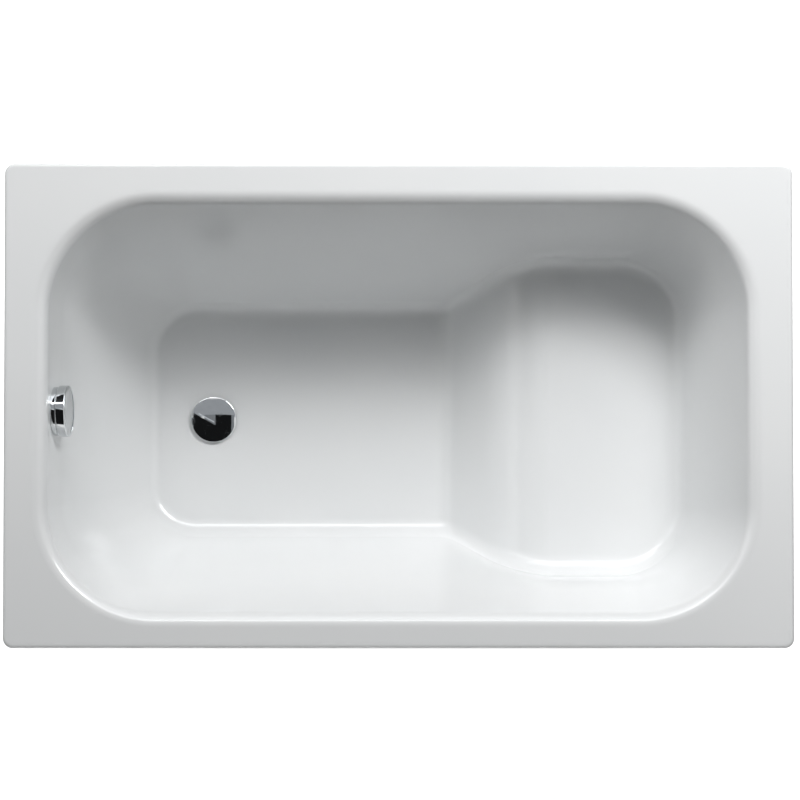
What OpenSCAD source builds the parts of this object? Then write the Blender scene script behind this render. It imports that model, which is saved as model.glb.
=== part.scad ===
// Built-in bathtub of enamelled pressed steel, with a raised seat in the well,
// a turn-knob overflow, a pop-up plug, a trap and an adjustable foot frame.
// +X points to the seat end and +Y to the wall side. Z = 0 is the room's floor.

/* [Rim] */
// Length over the rim
bath_l = 1180; // [1140:5:1240]
// Width over the rim
bath_w = 725; // [700:5:770]
// Thickness of the enamelled sheet
sheet_t = 3; // [2.4:0.1:3.6]
// Width of the flat rim at the drain end
rim_drain_w = 43; // [40:1:55]
// Width of the flat rim at the seat end
rim_seat_w = 48; // [42:1:60]
// Width of the flat rim on the wall side
rim_wall_w = 40; // [34:1:50]
// Width of the flat rim on the bather's side
rim_front_w = 27; // [25:1:35]
// Radius of the rim's outer corners
rim_corner_r = 15; // [10:1:22]
// Height of the turned-down skirt
skirt_h = 32; // [26:1:42]
// Radius of the bend between the rim and the skirt
bend_r = 5; // [4:0.5:7]
// Radius of the roll from the rim into the well
roll_r = 22; // [18:1:26]

/* [Well] */
// Radius of the well's corners at the lip
lip_corner_r = 160; // [145:5:170]
// Slope of the side walls and the backrest, in degrees from upright
side_slope = 19.5; // [18:0.5:20.5]
// Slope of the drain end wall behind the knob, in degrees from upright
drain_slope = 7; // [5:0.5:9]
// Height of the flat stretch at the top of the walls
wall_flat_h = 92; // [88:1:100]
// Horizontal reach of the drain end wall, from the rim to the flat floor
drain_end_run = 171; // [160:1:180]
// Radius between the walls and the floor
fillet_r = 32; // [28:1:36]
// Radius of the deep floor's corners at the drain end
deep_corner_r = 55; // [45:1:65]
// Radius of the seat's corners at the seat end
seat_corner_r = 75; // [65:1:85]
// Height of the deep floor above the room's floor
floor_h = 182; // [178:1:205]
// Depth of the well below the rim
deep_d = 378; // [372:1:384]
// Depth of the seat below the rim
seat_d = 250; // [240:1:262]
// Where the step begins, towards the seat from the middle of the bath
step_x = 60; // [40:1:75]
// Slope of the step's face, in degrees from upright
step_slope = 40; // [36:1:42]
// Radius at the foot of the step
step_foot_r = 38; // [30:1:44]
// Radius of the seat's front edge
step_nose_r = 100; // [90:1:110]

/* [Drain] */
// Distance of the drain from the end of the flat floor
drain_off = 81; // [76:1:90]
// Radius of the drain hole
drain_hole_r = 26; // [25.5:0.1:26.5]
// Radius of the strainer's flange
strainer_r = 34; // [32.5:0.1:35.5]
// Thickness of the strainer's flange
strainer_t = 2.5; // [2:0.1:3]
// Outer radius of the strainer's neck
neck_r = 24.8; // [24.6:0.1:25]
// Wall of the strainer's neck
neck_wall = 2.4; // [2:0.1:3]
// Length of the strainer's neck below its flange
neck_l = 27; // [24:0.5:30]
// Radius of the plug's cap
cap_r = 36; // [36:0.5:38]
// Height of the plug's cap
cap_h = 7; // [6:0.5:9]
// Radius of the plug's stem
stem_r = 4; // [3.5:0.1:4.5]
// How far the plug lifts
plug_lift = 10; // [8:0.5:11]
// Thickness of the seals
seal_t = 3; // [2.5:0.1:3.5]

/* [Waste body] */
// Radius of the waste body's clamping flange
waste_flange_r = 42; // [40:1:44]
// Thickness of the waste body's clamping flange
waste_flange_t = 5; // [4:0.5:6]
// Outer radius of the waste body's cup
cup_r = 34; // [33:0.5:36]
// Depth of the waste body's cup below its flange
cup_h = 46; // [44:1:50]
// Wall of the moulded plumbing
mould_wall = 3; // [2.6:0.1:3.4]
// Outer radius of the waste body's threaded tail
tail_r = 23.9; // [22:0.1:24.5]
// Length of the waste body's threaded tail
tail_l = 18; // [16:0.5:20]
// Radius of the lift lever's pin
lever_pin_r = 2; // [1.5:0.1:2.5]
// Length of the lift lever's arm
lever_arm = 20; // [18:0.5:22]
// Radius of the lift lever's nose
lever_nose_r = 3; // [2.5:0.1:3.5]

/* [Overflow] */
// Depth of the overflow's centre below the rim
overflow_d = 65; // [63:1:67]
// Radius of the overflow hole
overflow_hole_r = 26; // [25:0.5:28]
// Radius of the turn knob
knob_r = 39; // [37:0.5:40]
// Thickness of the turn knob
knob_t = 14; // [12:0.5:16]
// Radius of the ring behind the knob
ring_r = 37; // [35.5:0.5:38]
// Thickness of the ring behind the knob
ring_t = 8; // [7:0.5:9]
// Radius of the knob's spindle
spindle_r = 4; // [3.5:0.1:4.5]
// Radius of the overflow body's flange
overflow_flange_r = 40; // [39:0.5:42]
// Outer radius of the overflow body's cup
overflow_cup_r = 31; // [30:0.5:33]
// Depth of the overflow body's cup
overflow_cup_h = 30; // [28:0.5:32]

/* [Overflow hose] */
// Outer radius of the ribbed hose
hose_r = 17; // [15:0.5:18]
// Inner radius of the ribbed hose
hose_bore_r = 13; // [12.5:0.1:13]
// Pitch of the hose's ribs
rib_pitch = 7.5; // [6.5:0.5:10]
// Radius of the hose's bend
hose_bend_r = 85; // [75:1:95]
// Radius of the control cable's sleeve
sleeve_r = 3; // [2.5:0.1:3.5]
// Sideways distance from the hose to the control cable
cable_off = 30; // [29:0.5:32]

/* [Trap] */
// Outer radius of the trap's bowl
bowl_r = 42; // [40:1:46]
// Height of the trap's bowl
bowl_h = 62; // [58:1:66]
// Distance from the trap's top down to its bowl
trap_neck_l = 20.5; // [18:0.5:22]
// Outer radius of the trap's dip tube
dip_r = 19; // [18:0.1:20]
// Outer radius of the outlet pipe
outlet_r = 20; // [19:0.1:21]
// Length of the outlet pipe
outlet_l = 110; // [90:1:130]

/* [Foot frame] */
// Distance of the deep rail from the drain
deep_rail_off = 105; // [100:1:120]
// Distance of the seat rail from the middle of the bath, towards the seat end
seat_rail_off = 315; // [300:1:330]
// Distance between the two feet of one rail
foot_span = 520; // [510:5:540]
// Width of the rails
rail_w = 40; // [36:1:44]
// Height of the rails
rail_h = 26; // [24:1:30]
// Thickness of the rails' sheet
rail_t = 2.5; // [2:0.1:3]
// How far the rails reach past the feet
rail_over = 18; // [15:1:24]
// Radius of the legs' threaded rods
rod_r = 6; // [5:0.1:6.4]
// How far a leg can be screwed in or out
leg_travel = 20; // [15:1:22]
// Radius of the feet
foot_r = 24; // [21:1:28]
// Height of the moulded feet
foot_h = 16; // [14:0.5:20]
// Thickness of the feet's rubber soles
sole_t = 4; // [3:0.5:5]

/* [Hidden] */
$fn = 72;

// Clearances: gap between parts that only lie side by side, a running fit and a loose hole
gap = 0.3;
fit = 0.05;
loose = 0.5;

// How finely the pressed shell is drawn
corner_steps = 9;
end_steps = 3;
roll_steps = 4;
wall_steps = 3;
fillet_steps = 4;
bend_steps = 2;

// The rim stands on the deep floor's height and the well's depth
rim_h = floor_h + deep_d;

// Plan of the well: the rim's inner edge is a rounded rectangle about the well's centre line
well_y = (rim_front_w - rim_wall_w) / 2;
edge_half_w = (bath_w - rim_front_w - rim_wall_w) / 2;
edge_drain_x = -bath_l / 2 + rim_drain_w;
edge_seat_x = bath_l / 2 - rim_seat_w;
edge_r = lip_corner_r + roll_r;

// The step between the deep floor and the seat, in the order foot, face, nose
step_h = deep_d - seat_d;
face_h = step_h - (step_foot_r + step_nose_r) * (1 - sin(step_slope));
face_x = step_x + step_foot_r * cos(step_slope);
nose_x = face_x + face_h * tan(step_slope);
seat_x = nose_x + step_nose_r * cos(step_slope);

function depth_at(x) =
    x <= step_x ? deep_d :
    x <= face_x ? deep_d - step_foot_r + sqrt(pow(step_foot_r, 2) - pow(x - step_x, 2)) :
    x <= nose_x ? deep_d - step_foot_r * (1 - sin(step_slope)) - (x - face_x) / tan(step_slope) :
    x < seat_x ? seat_d + step_nose_r - sqrt(pow(step_nose_r, 2) - pow(seat_x - x, 2)) :
    seat_d;

// Horizontal reach of a wall from the rim's inner edge to the flat floor, for a depth and
// the wall's slopes at the top and at the foot
function wall_run(depth, top, foot) =
    roll_r * cos(top) + wall_flat_h * tan(top)
    + (depth - roll_r * (1 - sin(top)) - wall_flat_h - fillet_r * (1 - sin(foot))) * tan((top + foot) / 2)
    + fillet_r * cos(foot);

// Slope at the wall's foot that gives the wanted reach, by halving
function foot_slope(run, depth, top, low = 0, high = 75, tries = 30) =
    let (middle = (low + high) / 2)
    tries == 0 ? middle :
    wall_run(depth, top, middle) < run ? foot_slope(run, depth, top, middle, high, tries - 1) :
    foot_slope(run, depth, top, low, middle, tries - 1);

// Section of a wall as [reach, depth] points: roll, flat stretch, concave sweep, fillet
function wall_section(depth, top, foot) =
    let (
        start = [roll_r * cos(top) + wall_flat_h * tan(top), roll_r * (1 - sin(top)) + wall_flat_h],
        drop = depth - start[1] - fillet_r * (1 - sin(foot)),
        end = start + [drop * tan((top + foot) / 2), drop]
    )
    concat(
        [for (i = [0:roll_steps]) let (a = (90 - top) * i / roll_steps) roll_r * [sin(a), 1 - cos(a)]],
        [start],
        [for (i = [1:wall_steps]) let (
            t = i / wall_steps,
            a = top + (foot - top) * t,
            share = abs(foot - top) < 0.01 ? t : (sin(a) - sin(top)) / (sin(foot) - sin(top))
        ) start + drop * share * [tan((top + a) / 2), 1]],
        [for (i = [1:fillet_steps]) let (a = foot + (90 - foot) * i / fillet_steps)
            end + fillet_r * [cos(foot) - cos(a), sin(a) - sin(foot)]]
    );

function toward(a) = [cos(a), sin(a)];
function between(a, b, t) = a + (b - a) * t;
function smooth(t) = t * t * (3 - 2 * t);

// Plan of the flat floor: its edges, and the centres of its corner arcs
side_run_deep = wall_run(deep_d, side_slope, side_slope);
side_run_seat = wall_run(seat_d, side_slope, side_slope);
floor_drain_x = edge_drain_x + drain_end_run;
floor_seat_x = edge_seat_x - side_run_seat;
spine_drain_x = floor_drain_x + deep_corner_r;
spine_seat_x = floor_seat_x - seat_corner_r;

// Places along the sides where the shell has a rib of points, from drain to seat
side_xs = concat(
    [for (i = [0:3]) between(spine_drain_x, step_x, i / 4)],
    [for (i = [0:3]) step_x + step_foot_r * sin((90 - step_slope) * i / 4)],
    [face_x],
    [for (i = [0:4]) seat_x - step_nose_r * sin((90 - step_slope) * (1 - i / 5))],
    [for (i = [0:2]) between(seat_x, spine_seat_x, i / 2)]
);
last_x = len(side_xs) - 1;

// A spoke runs from the skirt over the rim and down the wall to the floor's spine:
// [rim inner edge, floor edge, reach, depth, top slope, outer edge, outer direction, spine index]
edge_corner_half_w = edge_half_w - edge_r;
rib_shift_drain = edge_drain_x + edge_r - spine_drain_x;
rib_shift_seat = edge_seat_x - edge_r - spine_seat_x;
function rim_x(x) =
    x + (x < 0 ? rib_shift_drain * x / spine_drain_x : 0)
    + (x > seat_x ? rib_shift_seat * (x - seat_x) / (spine_seat_x - seat_x) : 0);

function side_spoke(k, s) =
    let (
        x = side_xs[k],
        run = wall_run(depth_at(x), side_slope, side_slope)
    )
    [[rim_x(x), well_y + s * edge_half_w], [x, well_y + s * (edge_half_w - run)],
     run, depth_at(x), side_slope, [rim_x(x), s * bath_w / 2], s * 90, k];

// Ends: s is 1 at the seat and -1 at the drain, t runs from -1 to 1 across the bath
function end_spoke(s, t) =
    let (
        edge_x = s > 0 ? edge_seat_x : edge_drain_x,
        floor_x = s > 0 ? floor_seat_x : floor_drain_x,
        side_run = s > 0 ? side_run_seat : side_run_deep,
        corner_r = s > 0 ? seat_corner_r : deep_corner_r,
        y = t * edge_corner_half_w
    )
    [[edge_x, well_y + y], [floor_x, well_y + t * (edge_half_w - side_run - corner_r)], abs(edge_x - floor_x),
     s > 0 ? seat_d : deep_d, s > 0 ? side_slope : drain_slope,
     [s * bath_l / 2, well_y + y], s > 0 ? 0 : 180, s > 0 ? last_x : 0];

// Corner spokes: turn is the corner's quarter, 0 to 3, counted from the wall side's seat corner
function corner_spoke(turn, i) =
    let (
        sx = turn == 0 || turn == 3 ? 1 : -1,
        sy = turn < 2 ? 1 : -1,
        t = i / corner_steps,
        a = 90 * (turn + t),
        side_run = sx > 0 ? side_run_seat : side_run_deep,
        corner_r = sx > 0 ? seat_corner_r : deep_corner_r,
        edge_centre = [sx > 0 ? edge_seat_x - edge_r : edge_drain_x + edge_r,
                       well_y + sy * edge_corner_half_w],
        floor_centre = [sx > 0 ? spine_seat_x : spine_drain_x,
                        well_y + sy * (edge_half_w - side_run - corner_r)],
        edge = edge_centre + edge_r * toward(a),
        floor_edge = floor_centre + corner_r * toward(a),
        end_share = turn % 2 == 0 ? 1 - t : t,
        top = sx > 0 ? side_slope : between(side_slope, drain_slope, smooth(end_share)),
        rim = corner_rim(turn, i, sx, sy, edge_centre)
    )
    [edge, floor_edge, (edge - floor_edge) * toward(a), sx > 0 ? seat_d : deep_d, top,
     rim[0], rim[1], sx > 0 ? last_x : 0];

// The outer edge of a corner: a third of the spokes on each straight and a third on the arc
function corner_rim(turn, i, sx, sy, edge_centre) =
    let (
        third = corner_steps / 3,
        first = 90 * turn,
        arc_centre = [sx * (bath_l / 2 - rim_corner_r), sy * (bath_w / 2 - rim_corner_r)],
        first_end = arc_centre + rim_corner_r * toward(first),
        last_end = arc_centre + rim_corner_r * toward(first + 90),
        back = (edge_centre - arc_centre) * toward(first + 90),
        ahead = (edge_centre - arc_centre) * toward(first),
        a = first + 90 * (i - third) / third
    )
    i <= third ? [first_end + toward(first + 90) * back * (1 - i / third), first] :
    i <= 2 * third ? [arc_centre + rim_corner_r * toward(a), a] :
    [last_end + toward(first) * ahead * (i / third - 2), first + 90];

spokes = concat(
    [for (i = [0:end_steps - 1]) end_spoke(1, 2 * i / end_steps - 1)],
    [for (i = [0:corner_steps - 1]) corner_spoke(0, i)],
    [for (k = [last_x:-1:1]) side_spoke(k, 1)],
    [for (i = [0:corner_steps - 1]) corner_spoke(1, i)],
    [for (i = [0:end_steps - 1]) end_spoke(-1, 1 - 2 * i / end_steps)],
    [for (i = [0:corner_steps - 1]) corner_spoke(2, i)],
    [for (k = [0:last_x - 1]) side_spoke(k, -1)],
    [for (i = [0:corner_steps - 1]) corner_spoke(3, i)]
);

function spoke_points(s) =
    let (
        outward = toward(s[6]),
        section = wall_section(s[3], s[4], foot_slope(s[2], s[3], s[4]))
    )
    concat(
        [[s[5][0], s[5][1], rim_h - skirt_h]],
        [for (i = [0:bend_steps]) let (a = 90 * i / bend_steps, q = s[5] - outward * bend_r * (1 - cos(a)))
            [q[0], q[1], rim_h - bend_r * (1 - sin(a))]],
        [for (p = section) let (q = between(s[0], s[1], p[0] / s[2])) [q[0], q[1], rim_h - p[1]]]
    );

// Drain, waste and plug, measured down from the floor of the well
drain_x = floor_drain_x + drain_off;
floor_z = floor_h;
under_z = floor_z - sheet_t;
seat_under_z = rim_h - seat_d - sheet_t;
strainer_gasket_t = 1;
strainer_z = floor_z + strainer_gasket_t;
strainer_top_z = strainer_z + strainer_t;
throat_r = neck_r - neck_wall;
guide_t = 8;
guide_z = strainer_z - neck_l;
guide_r = 8;
cap_z = strainer_top_z + gap;
stem_end_z = guide_z - plug_lift - 3;
stem_head_r = 17;
stem_head_t = 2;
stem_head_z = cap_z - strainer_t - 1;
shoulder_r = stem_head_r - 4;
plug_seal_r = throat_r - gap;
cap_wall = 1.6;
cap_edge_h = 3;
cap_dome_h = cap_h - cap_edge_h;
cap_dome_r = (pow(cap_r - 1, 2) + pow(cap_dome_h, 2)) / (2 * cap_dome_h);
waste_top_z = under_z - seal_t;
cup_top_z = waste_top_z - waste_flange_t;
cup_bottom_z = cup_top_z - cup_h;
funnel_h = 6;
funnel_top_z = cup_bottom_z + mould_wall + funnel_h;
tail_end_z = cup_bottom_z - tail_l;
lever_z = stem_end_z - gap - lever_nose_r;
lever_w = 8;
lever_pin_x = drain_x + lever_arm;
lever_pin_half = sqrt(pow(cup_r - mould_wall, 2) - pow(lever_arm, 2)) + 2;
inlet_z = cup_top_z - 21;
spigot_l = 24;
inlet_end_x = drain_x - cup_r - spigot_l;
boss_l = 8;
boss_r = sleeve_r + 3;

// Overflow, in a frame whose Z axis is the wall's normal into the well
overflow_x = edge_drain_x + roll_r * cos(drain_slope)
    + (overflow_d - roll_r * (1 - sin(drain_slope))) * tan(drain_slope);
overflow_z = rim_h - overflow_d;
overflow_back = -sheet_t - seal_t;
overflow_cup_end = overflow_back - overflow_cup_h;
knob_z = ring_t + 0.6;
spindle_end = overflow_cup_end + mould_wall + 4;
crank_r = 9.5;
crank_t = 4;
crank_z = spindle_end + 1;
screw_off = 17;
screw_r = 2.5;
ring_base_t = 1.6;
bush_lip_t = 1.2;
knob_wall = 2.5;
spindle_boss_r = spindle_r + 4;

// Hose: straight down from the overflow body, one bend, straight into the waste body
hose_x = overflow_x - (sheet_t + seal_t + overflow_cup_h / 2 + 1) * cos(drain_slope);
hose_top_z = overflow_z - overflow_cup_r - spigot_l - gap;
hose_end_x = inlet_end_x - gap;
hose_bend_z = inlet_z + hose_bend_r;
hose_drop = hose_top_z - hose_bend_z;
hose_arc = hose_bend_r * PI / 2;
hose_level = hose_end_x - hose_x - hose_bend_r;
hose_l = hose_drop + hose_arc + hose_level;
hose_cuff = 2 * hose_r;
spigot_r = hose_bore_r + mould_wall;
spigot_bore_r = hose_bore_r - mould_wall / 2;
cuff_r = hose_r - 2;
nut_r = 20;
nut_wall = 2.5;
nut_l = 26;
nut_grip = 8;

// Control cable, on the hose's route and beside it
cable_top_z = overflow_z - overflow_cup_r - 6;
ferrule_l = 14;
cable_start = hose_top_z - cable_top_z + ferrule_l;
cable_end = hose_l + spigot_l - boss_l - ferrule_l;

// Trap
union_r = 29;
union_h = 22;
inlet_flange_t = 4;
inlet_seal_t = 2.5;
trap_top_z = tail_end_z - inlet_seal_t;
bowl_top_z = trap_top_z - trap_neck_l;
bowl_z = bowl_top_z - bowl_h;
dip_end_z = bowl_z + mould_wall + 14;
lid_t = 4;
branch_z = bowl_top_z - outlet_r - 6;
branch_r = outlet_r + gap + mould_wall;
branch_l = 30;
branch_end_x = drain_x - bowl_r - branch_l;
outlet_start_x = branch_end_x + 20;
outlet_end_x = outlet_start_x - outlet_l;
outlet_nut_r = branch_r + 6;
outlet_nut_l = 20;
outlet_nut_x = branch_end_x + 12;
bead_l = 3;

// Foot frame
deep_rail_x = drain_x + deep_rail_off;
pad_t = 3;
deep_rail_top = under_z - pad_t;
seat_rail_top = seat_under_z - pad_t;
rail_l = foot_span + 2 * rail_over;
pad_l = 60;
floor_inset = 8;
seat_inset = 20;
deep_half_w = edge_half_w - side_run_deep - floor_inset;
seat_half_w = edge_half_w - side_run_seat - seat_inset;
nut_flat_r = 10.4;
nut_h = 10;
rod_spare = 2;
rod_foot_l = 12;
wrench_h = 8;
foot_top_z = sole_t + foot_h;
LEGS = [
    [deep_rail_x, -1, deep_rail_top],
    [deep_rail_x, 1, deep_rail_top],
    [seat_rail_off, -1, seat_rail_top],
    [seat_rail_off, 1, seat_rail_top]
];

// Damping mats and earth tab
mat_t = 2.5;
mat_clear = 25;
mat_end_clear = 5;
earth_hole_r = 3.2;
tab_w = 26;
tab_h = 30;
tab_t = 3;
tab_clear = 6;
tab_off = 100;
tab_x = deep_rail_x - rail_w / 2 - tab_w / 2 - tab_clear;
tab_y = well_y + tab_off;

// Shared shapes

module ring(outer, inner, h) {
    difference() {
        cylinder(h = h, r = outer);
        translate([0, 0, -1]) cylinder(h = h + 2, r = inner);
    }
}

module hex_nut(flat_r, bore, h) {
    difference() {
        cylinder(h = h, r = flat_r, $fn = 6);
        translate([0, 0, -1]) cylinder(h = h + 2, r = bore);
    }
}

// Grip nut: a collar with ribs for the fingers and a lip that draws the seal tight
module grip_nut(outer, bore, lip_bore, h, ribs = 12) {
    rib_r = 2;
    difference() {
        union() {
            cylinder(h = h, r = outer);
            for (i = [0:ribs - 1]) rotate([0, 0, i * 360 / ribs]) translate([outer - 0.6, 0, 0])
                cylinder(h = h, r = rib_r, $fn = 24);
        }
        translate([0, 0, -1]) cylinder(h = h - nut_wall + 1, r = bore);
        translate([0, 0, -1]) cylinder(h = h + 2, r = lip_bore);
    }
}

module at_drain() {
    translate([drain_x, well_y, 0]) children();
}

module at_overflow() {
    translate([overflow_x, well_y, overflow_z]) rotate([0, 90 - drain_slope, 0]) children();
}

// A tube along the hose's route: each ring is [distance along the route, radius]
function route_at(s, off) =
    s < hose_drop ? [[hose_x, well_y - off, hose_top_z - s], [1, 0, 0]] :
    s < hose_drop + hose_arc ? let (a = (s - hose_drop) / hose_arc * 90)
        [[hose_x + hose_bend_r * (1 - cos(a)), well_y - off, hose_bend_z - hose_bend_r * sin(a)],
         [cos(a), 0, sin(a)]] :
    [[hose_x + hose_bend_r + s - hose_drop - hose_arc, well_y - off, inlet_z], [0, 0, 1]];

function route_ring(s, r, off, sides) =
    let (at = route_at(s, off))
    [for (i = [0:sides - 1]) let (a = 360 * i / sides) at[0] + r * (at[1] * cos(a) + [0, 1, 0] * sin(a))];

// Faces between two neighbouring rings, which start at vertices a and b
function band(a, b, sides) = [
    for (i = [0:sides - 1]) let (n = (i + 1) % sides)
        each [[a + i, a + n, b + n], [a + i, b + n, b + i]]
];

// Pressed shell

module pressed_sheet() {
    count = len(spokes);
    top = [for (s = spokes) spoke_points(s)];
    rows = len(top[0]);
    spine = [for (x = side_xs) [x, well_y, rim_h - depth_at(x)]];
    function fall(x) = depth_at(x + 0.5) - depth_at(x - 0.5);
    function unit(v) = v / norm(v);
    function inner(i, j) = j < rows - 1 ? top[i][j + 1] : spine[spokes[i][7]];
    function normal(i, j) = unit(cross(
        top[(i + 1) % count][j] - top[(i + count - 1) % count][j],
        inner(i, j) - top[i][max(j - 1, 0)]
    ));
    top_points = [for (i = [0:count - 1], j = [0:rows - 1]) top[i][j]];
    under_points = [for (i = [0:count - 1], j = [0:rows - 1]) top[i][j] - sheet_t * normal(i, j)];
    under_spine = [for (p = spine) p - sheet_t * unit([fall(p[0]), 0, 1])];
    under = len(top_points) + len(spine);
    function at(i, j) = (i % count) * rows + j;
    function at_spine(i) = count * rows + spokes[i % count][7];
    faces = [
        for (i = [0:count - 1]) each concat(
            [for (j = [0:rows - 2]) each [
                [at(i, j), at(i, j + 1), at(i + 1, j + 1)],
                [at(i, j), at(i + 1, j + 1), at(i + 1, j)]
            ]],
            [[at(i, rows - 1), at_spine(i), at(i + 1, rows - 1)]],
            at_spine(i) == at_spine(i + 1) ? [] : [[at(i + 1, rows - 1), at_spine(i), at_spine(i + 1)]]
        )
    ];
    edge_faces = [
        for (i = [0:count - 1]) each [
            [at(i, 0), at(i + 1, 0), under + at(i + 1, 0)],
            [at(i, 0), under + at(i + 1, 0), under + at(i, 0)]
        ]
    ];
    under_faces = [for (f = faces) [under + f[0], under + f[2], under + f[1]]];
    polyhedron(concat(top_points, spine, under_points, under_spine), concat(faces, under_faces, edge_faces));
}

module tub_shell() {
    color("white") difference() {
        pressed_sheet();
        at_drain() translate([0, 0, under_z - 5]) cylinder(h = sheet_t + 10, r = drain_hole_r);
        at_overflow() translate([0, 0, -sheet_t - 5]) cylinder(h = sheet_t + 10, r = overflow_hole_r);
    }
}

// Bitumen mats that stop the sheet from ringing
module floor_damping_mat() {
    x0 = deep_rail_x + rail_w / 2 + mat_clear;
    color("dimgray") translate([x0, well_y - deep_half_w, under_z - mat_t])
        cube([step_x - mat_end_clear - x0, 2 * deep_half_w, mat_t]);
}

module seat_damping_mat() {
    x1 = seat_rail_off - rail_w / 2 - mat_clear / 2;
    x0 = seat_x + mat_end_clear;
    color("dimgray") translate([x0, well_y - deep_half_w, seat_under_z - mat_t])
        cube([x1 - x0, 2 * deep_half_w, mat_t]);
}

// Earth tab: an angle welded under the deep floor, with a hole for the bonding screw
module earth_tab() {
    color("silver") translate([tab_x, tab_y, under_z]) difference() {
        union() {
            translate([-tab_w / 2, 0, -tab_t]) cube([tab_w, tab_w, tab_t]);
            translate([-tab_w / 2, 0, -tab_h]) cube([tab_w, tab_t, tab_h]);
        }
        translate([0, -1, -tab_h + 12]) rotate([-90, 0, 0]) cylinder(h = tab_t + 2, r = earth_hole_r);
    }
}

// Foot frame

module rail(x, top_z) {
    color("silver") difference() {
        translate([x - rail_w / 2, well_y - rail_l / 2, top_z - rail_h]) cube([rail_w, rail_l, rail_h]);
        translate([x - rail_w / 2 + rail_t, well_y - rail_l / 2 - 1, top_z - rail_h - 1])
            cube([rail_w - 2 * rail_t, rail_l + 2, rail_h - rail_t + 1]);
        for (s = [-1, 1]) translate([x, well_y + s * foot_span / 2, top_z - rail_t - 1])
            cylinder(h = rail_t + 2, r = rod_r + loose);
    }
}

module deep_rail() {
    rail(deep_rail_x, deep_rail_top);
}

module seat_rail() {
    rail(seat_rail_off, seat_rail_top);
}

// Rubber pads that carry the shell on a rail
module rail_pads(x, top_z, half_w) {
    color("black") for (s = [-1, 1])
        translate([x - rail_w / 2 + 2, well_y + s * (half_w - pad_l / 2) - pad_l / 2, top_z])
            cube([rail_w - 4, pad_l, pad_t]);
}

module deep_rail_pads() {
    rail_pads(deep_rail_x, deep_rail_top, deep_half_w);
}

module seat_rail_pads() {
    rail_pads(seat_rail_off, seat_rail_top, seat_half_w);
}

module leg_at(i) {
    translate([LEGS[i][0], well_y + LEGS[i][1] * foot_span / 2, 0]) children();
}

// Nuts welded on top of the rails, and the nuts that lock the rods from below
module weld_nuts() {
    color("silver") for (i = [0:3]) leg_at(i)
        translate([0, 0, LEGS[i][2]]) hex_nut(nut_flat_r, rod_r + fit, nut_h);
}

module lock_nuts() {
    color("silver") for (i = [0:3]) leg_at(i)
        translate([0, 0, LEGS[i][2] - rail_t - nut_h]) hex_nut(nut_flat_r, rod_r + fit, nut_h);
}

// Threaded rod with a hexagon above the foot to turn it by
module leg_rod(i) {
    rod_top = LEGS[i][2] + nut_h + leg_travel + rod_spare;
    color("silver") leg_at(i) {
        translate([0, 0, foot_top_z - rod_foot_l]) cylinder(h = rod_top - foot_top_z + rod_foot_l, r = rod_r);
        translate([0, 0, foot_top_z + 1]) cylinder(h = wrench_h, r = nut_flat_r - 0.4, $fn = 6);
    }
}

module leg_rod_drain_front() { leg_rod(0); }
module leg_rod_drain_wall() { leg_rod(1); }
module leg_rod_seat_front() { leg_rod(2); }
module leg_rod_seat_wall() { leg_rod(3); }

// Moulded foot: a tapered disc with a socket for the rod
module foot(i) {
    disc_h = foot_h / 3;
    hub_r = rod_r + 5;
    color("dimgray") leg_at(i) translate([0, 0, sole_t]) rotate_extrude() polygon([
        [0, 0], [foot_r, 0], [foot_r, disc_h * 0.6], [foot_r - 2, disc_h], [hub_r + 3, disc_h * 1.6],
        [hub_r, foot_h - 1], [hub_r - 1, foot_h], [rod_r + fit, foot_h],
        [rod_r + fit, foot_h - rod_foot_l], [0, foot_h - rod_foot_l]
    ]);
}

module foot_drain_front() { foot(0); }
module foot_drain_wall() { foot(1); }
module foot_seat_front() { foot(2); }
module foot_seat_wall() { foot(3); }

module sole(i) {
    color("black") leg_at(i) cylinder(h = sole_t, r = foot_r - 2);
}

module sole_drain_front() { sole(0); }
module sole_drain_wall() { sole(1); }
module sole_seat_front() { sole(2); }
module sole_seat_wall() { sole(3); }

// Drain and waste

// Chromed strainer: flange, threaded neck, and a cross that guides the plug's stem
module strainer() {
    spoke_w = 4;
    color("lightsteelblue") at_drain() translate([0, 0, strainer_z]) difference() {
        union() {
            ring(strainer_r, throat_r, strainer_t);
            translate([0, 0, -neck_l]) ring(neck_r, throat_r, neck_l + 1);
            translate([0, 0, -neck_l]) cylinder(h = guide_t, r = guide_r);
            for (a = [0, 90]) rotate([0, 0, a]) translate([-throat_r - 1, -spoke_w / 2, -neck_l])
                cube([2 * throat_r + 2, spoke_w, guide_t - 2]);
        }
        translate([0, 0, -neck_l - 1]) cylinder(h = guide_t + 2, r = stem_r + fit);
    }
}

module strainer_gasket() {
    color("dimgray") at_drain() translate([0, 0, floor_z])
        ring(strainer_r - 1, drain_hole_r + 1, strainer_gasket_t);
}

module drain_gasket() {
    color("black") at_drain() translate([0, 0, waste_top_z])
        ring(waste_flange_r - 1, drain_hole_r + 1, seal_t);
}

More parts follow.
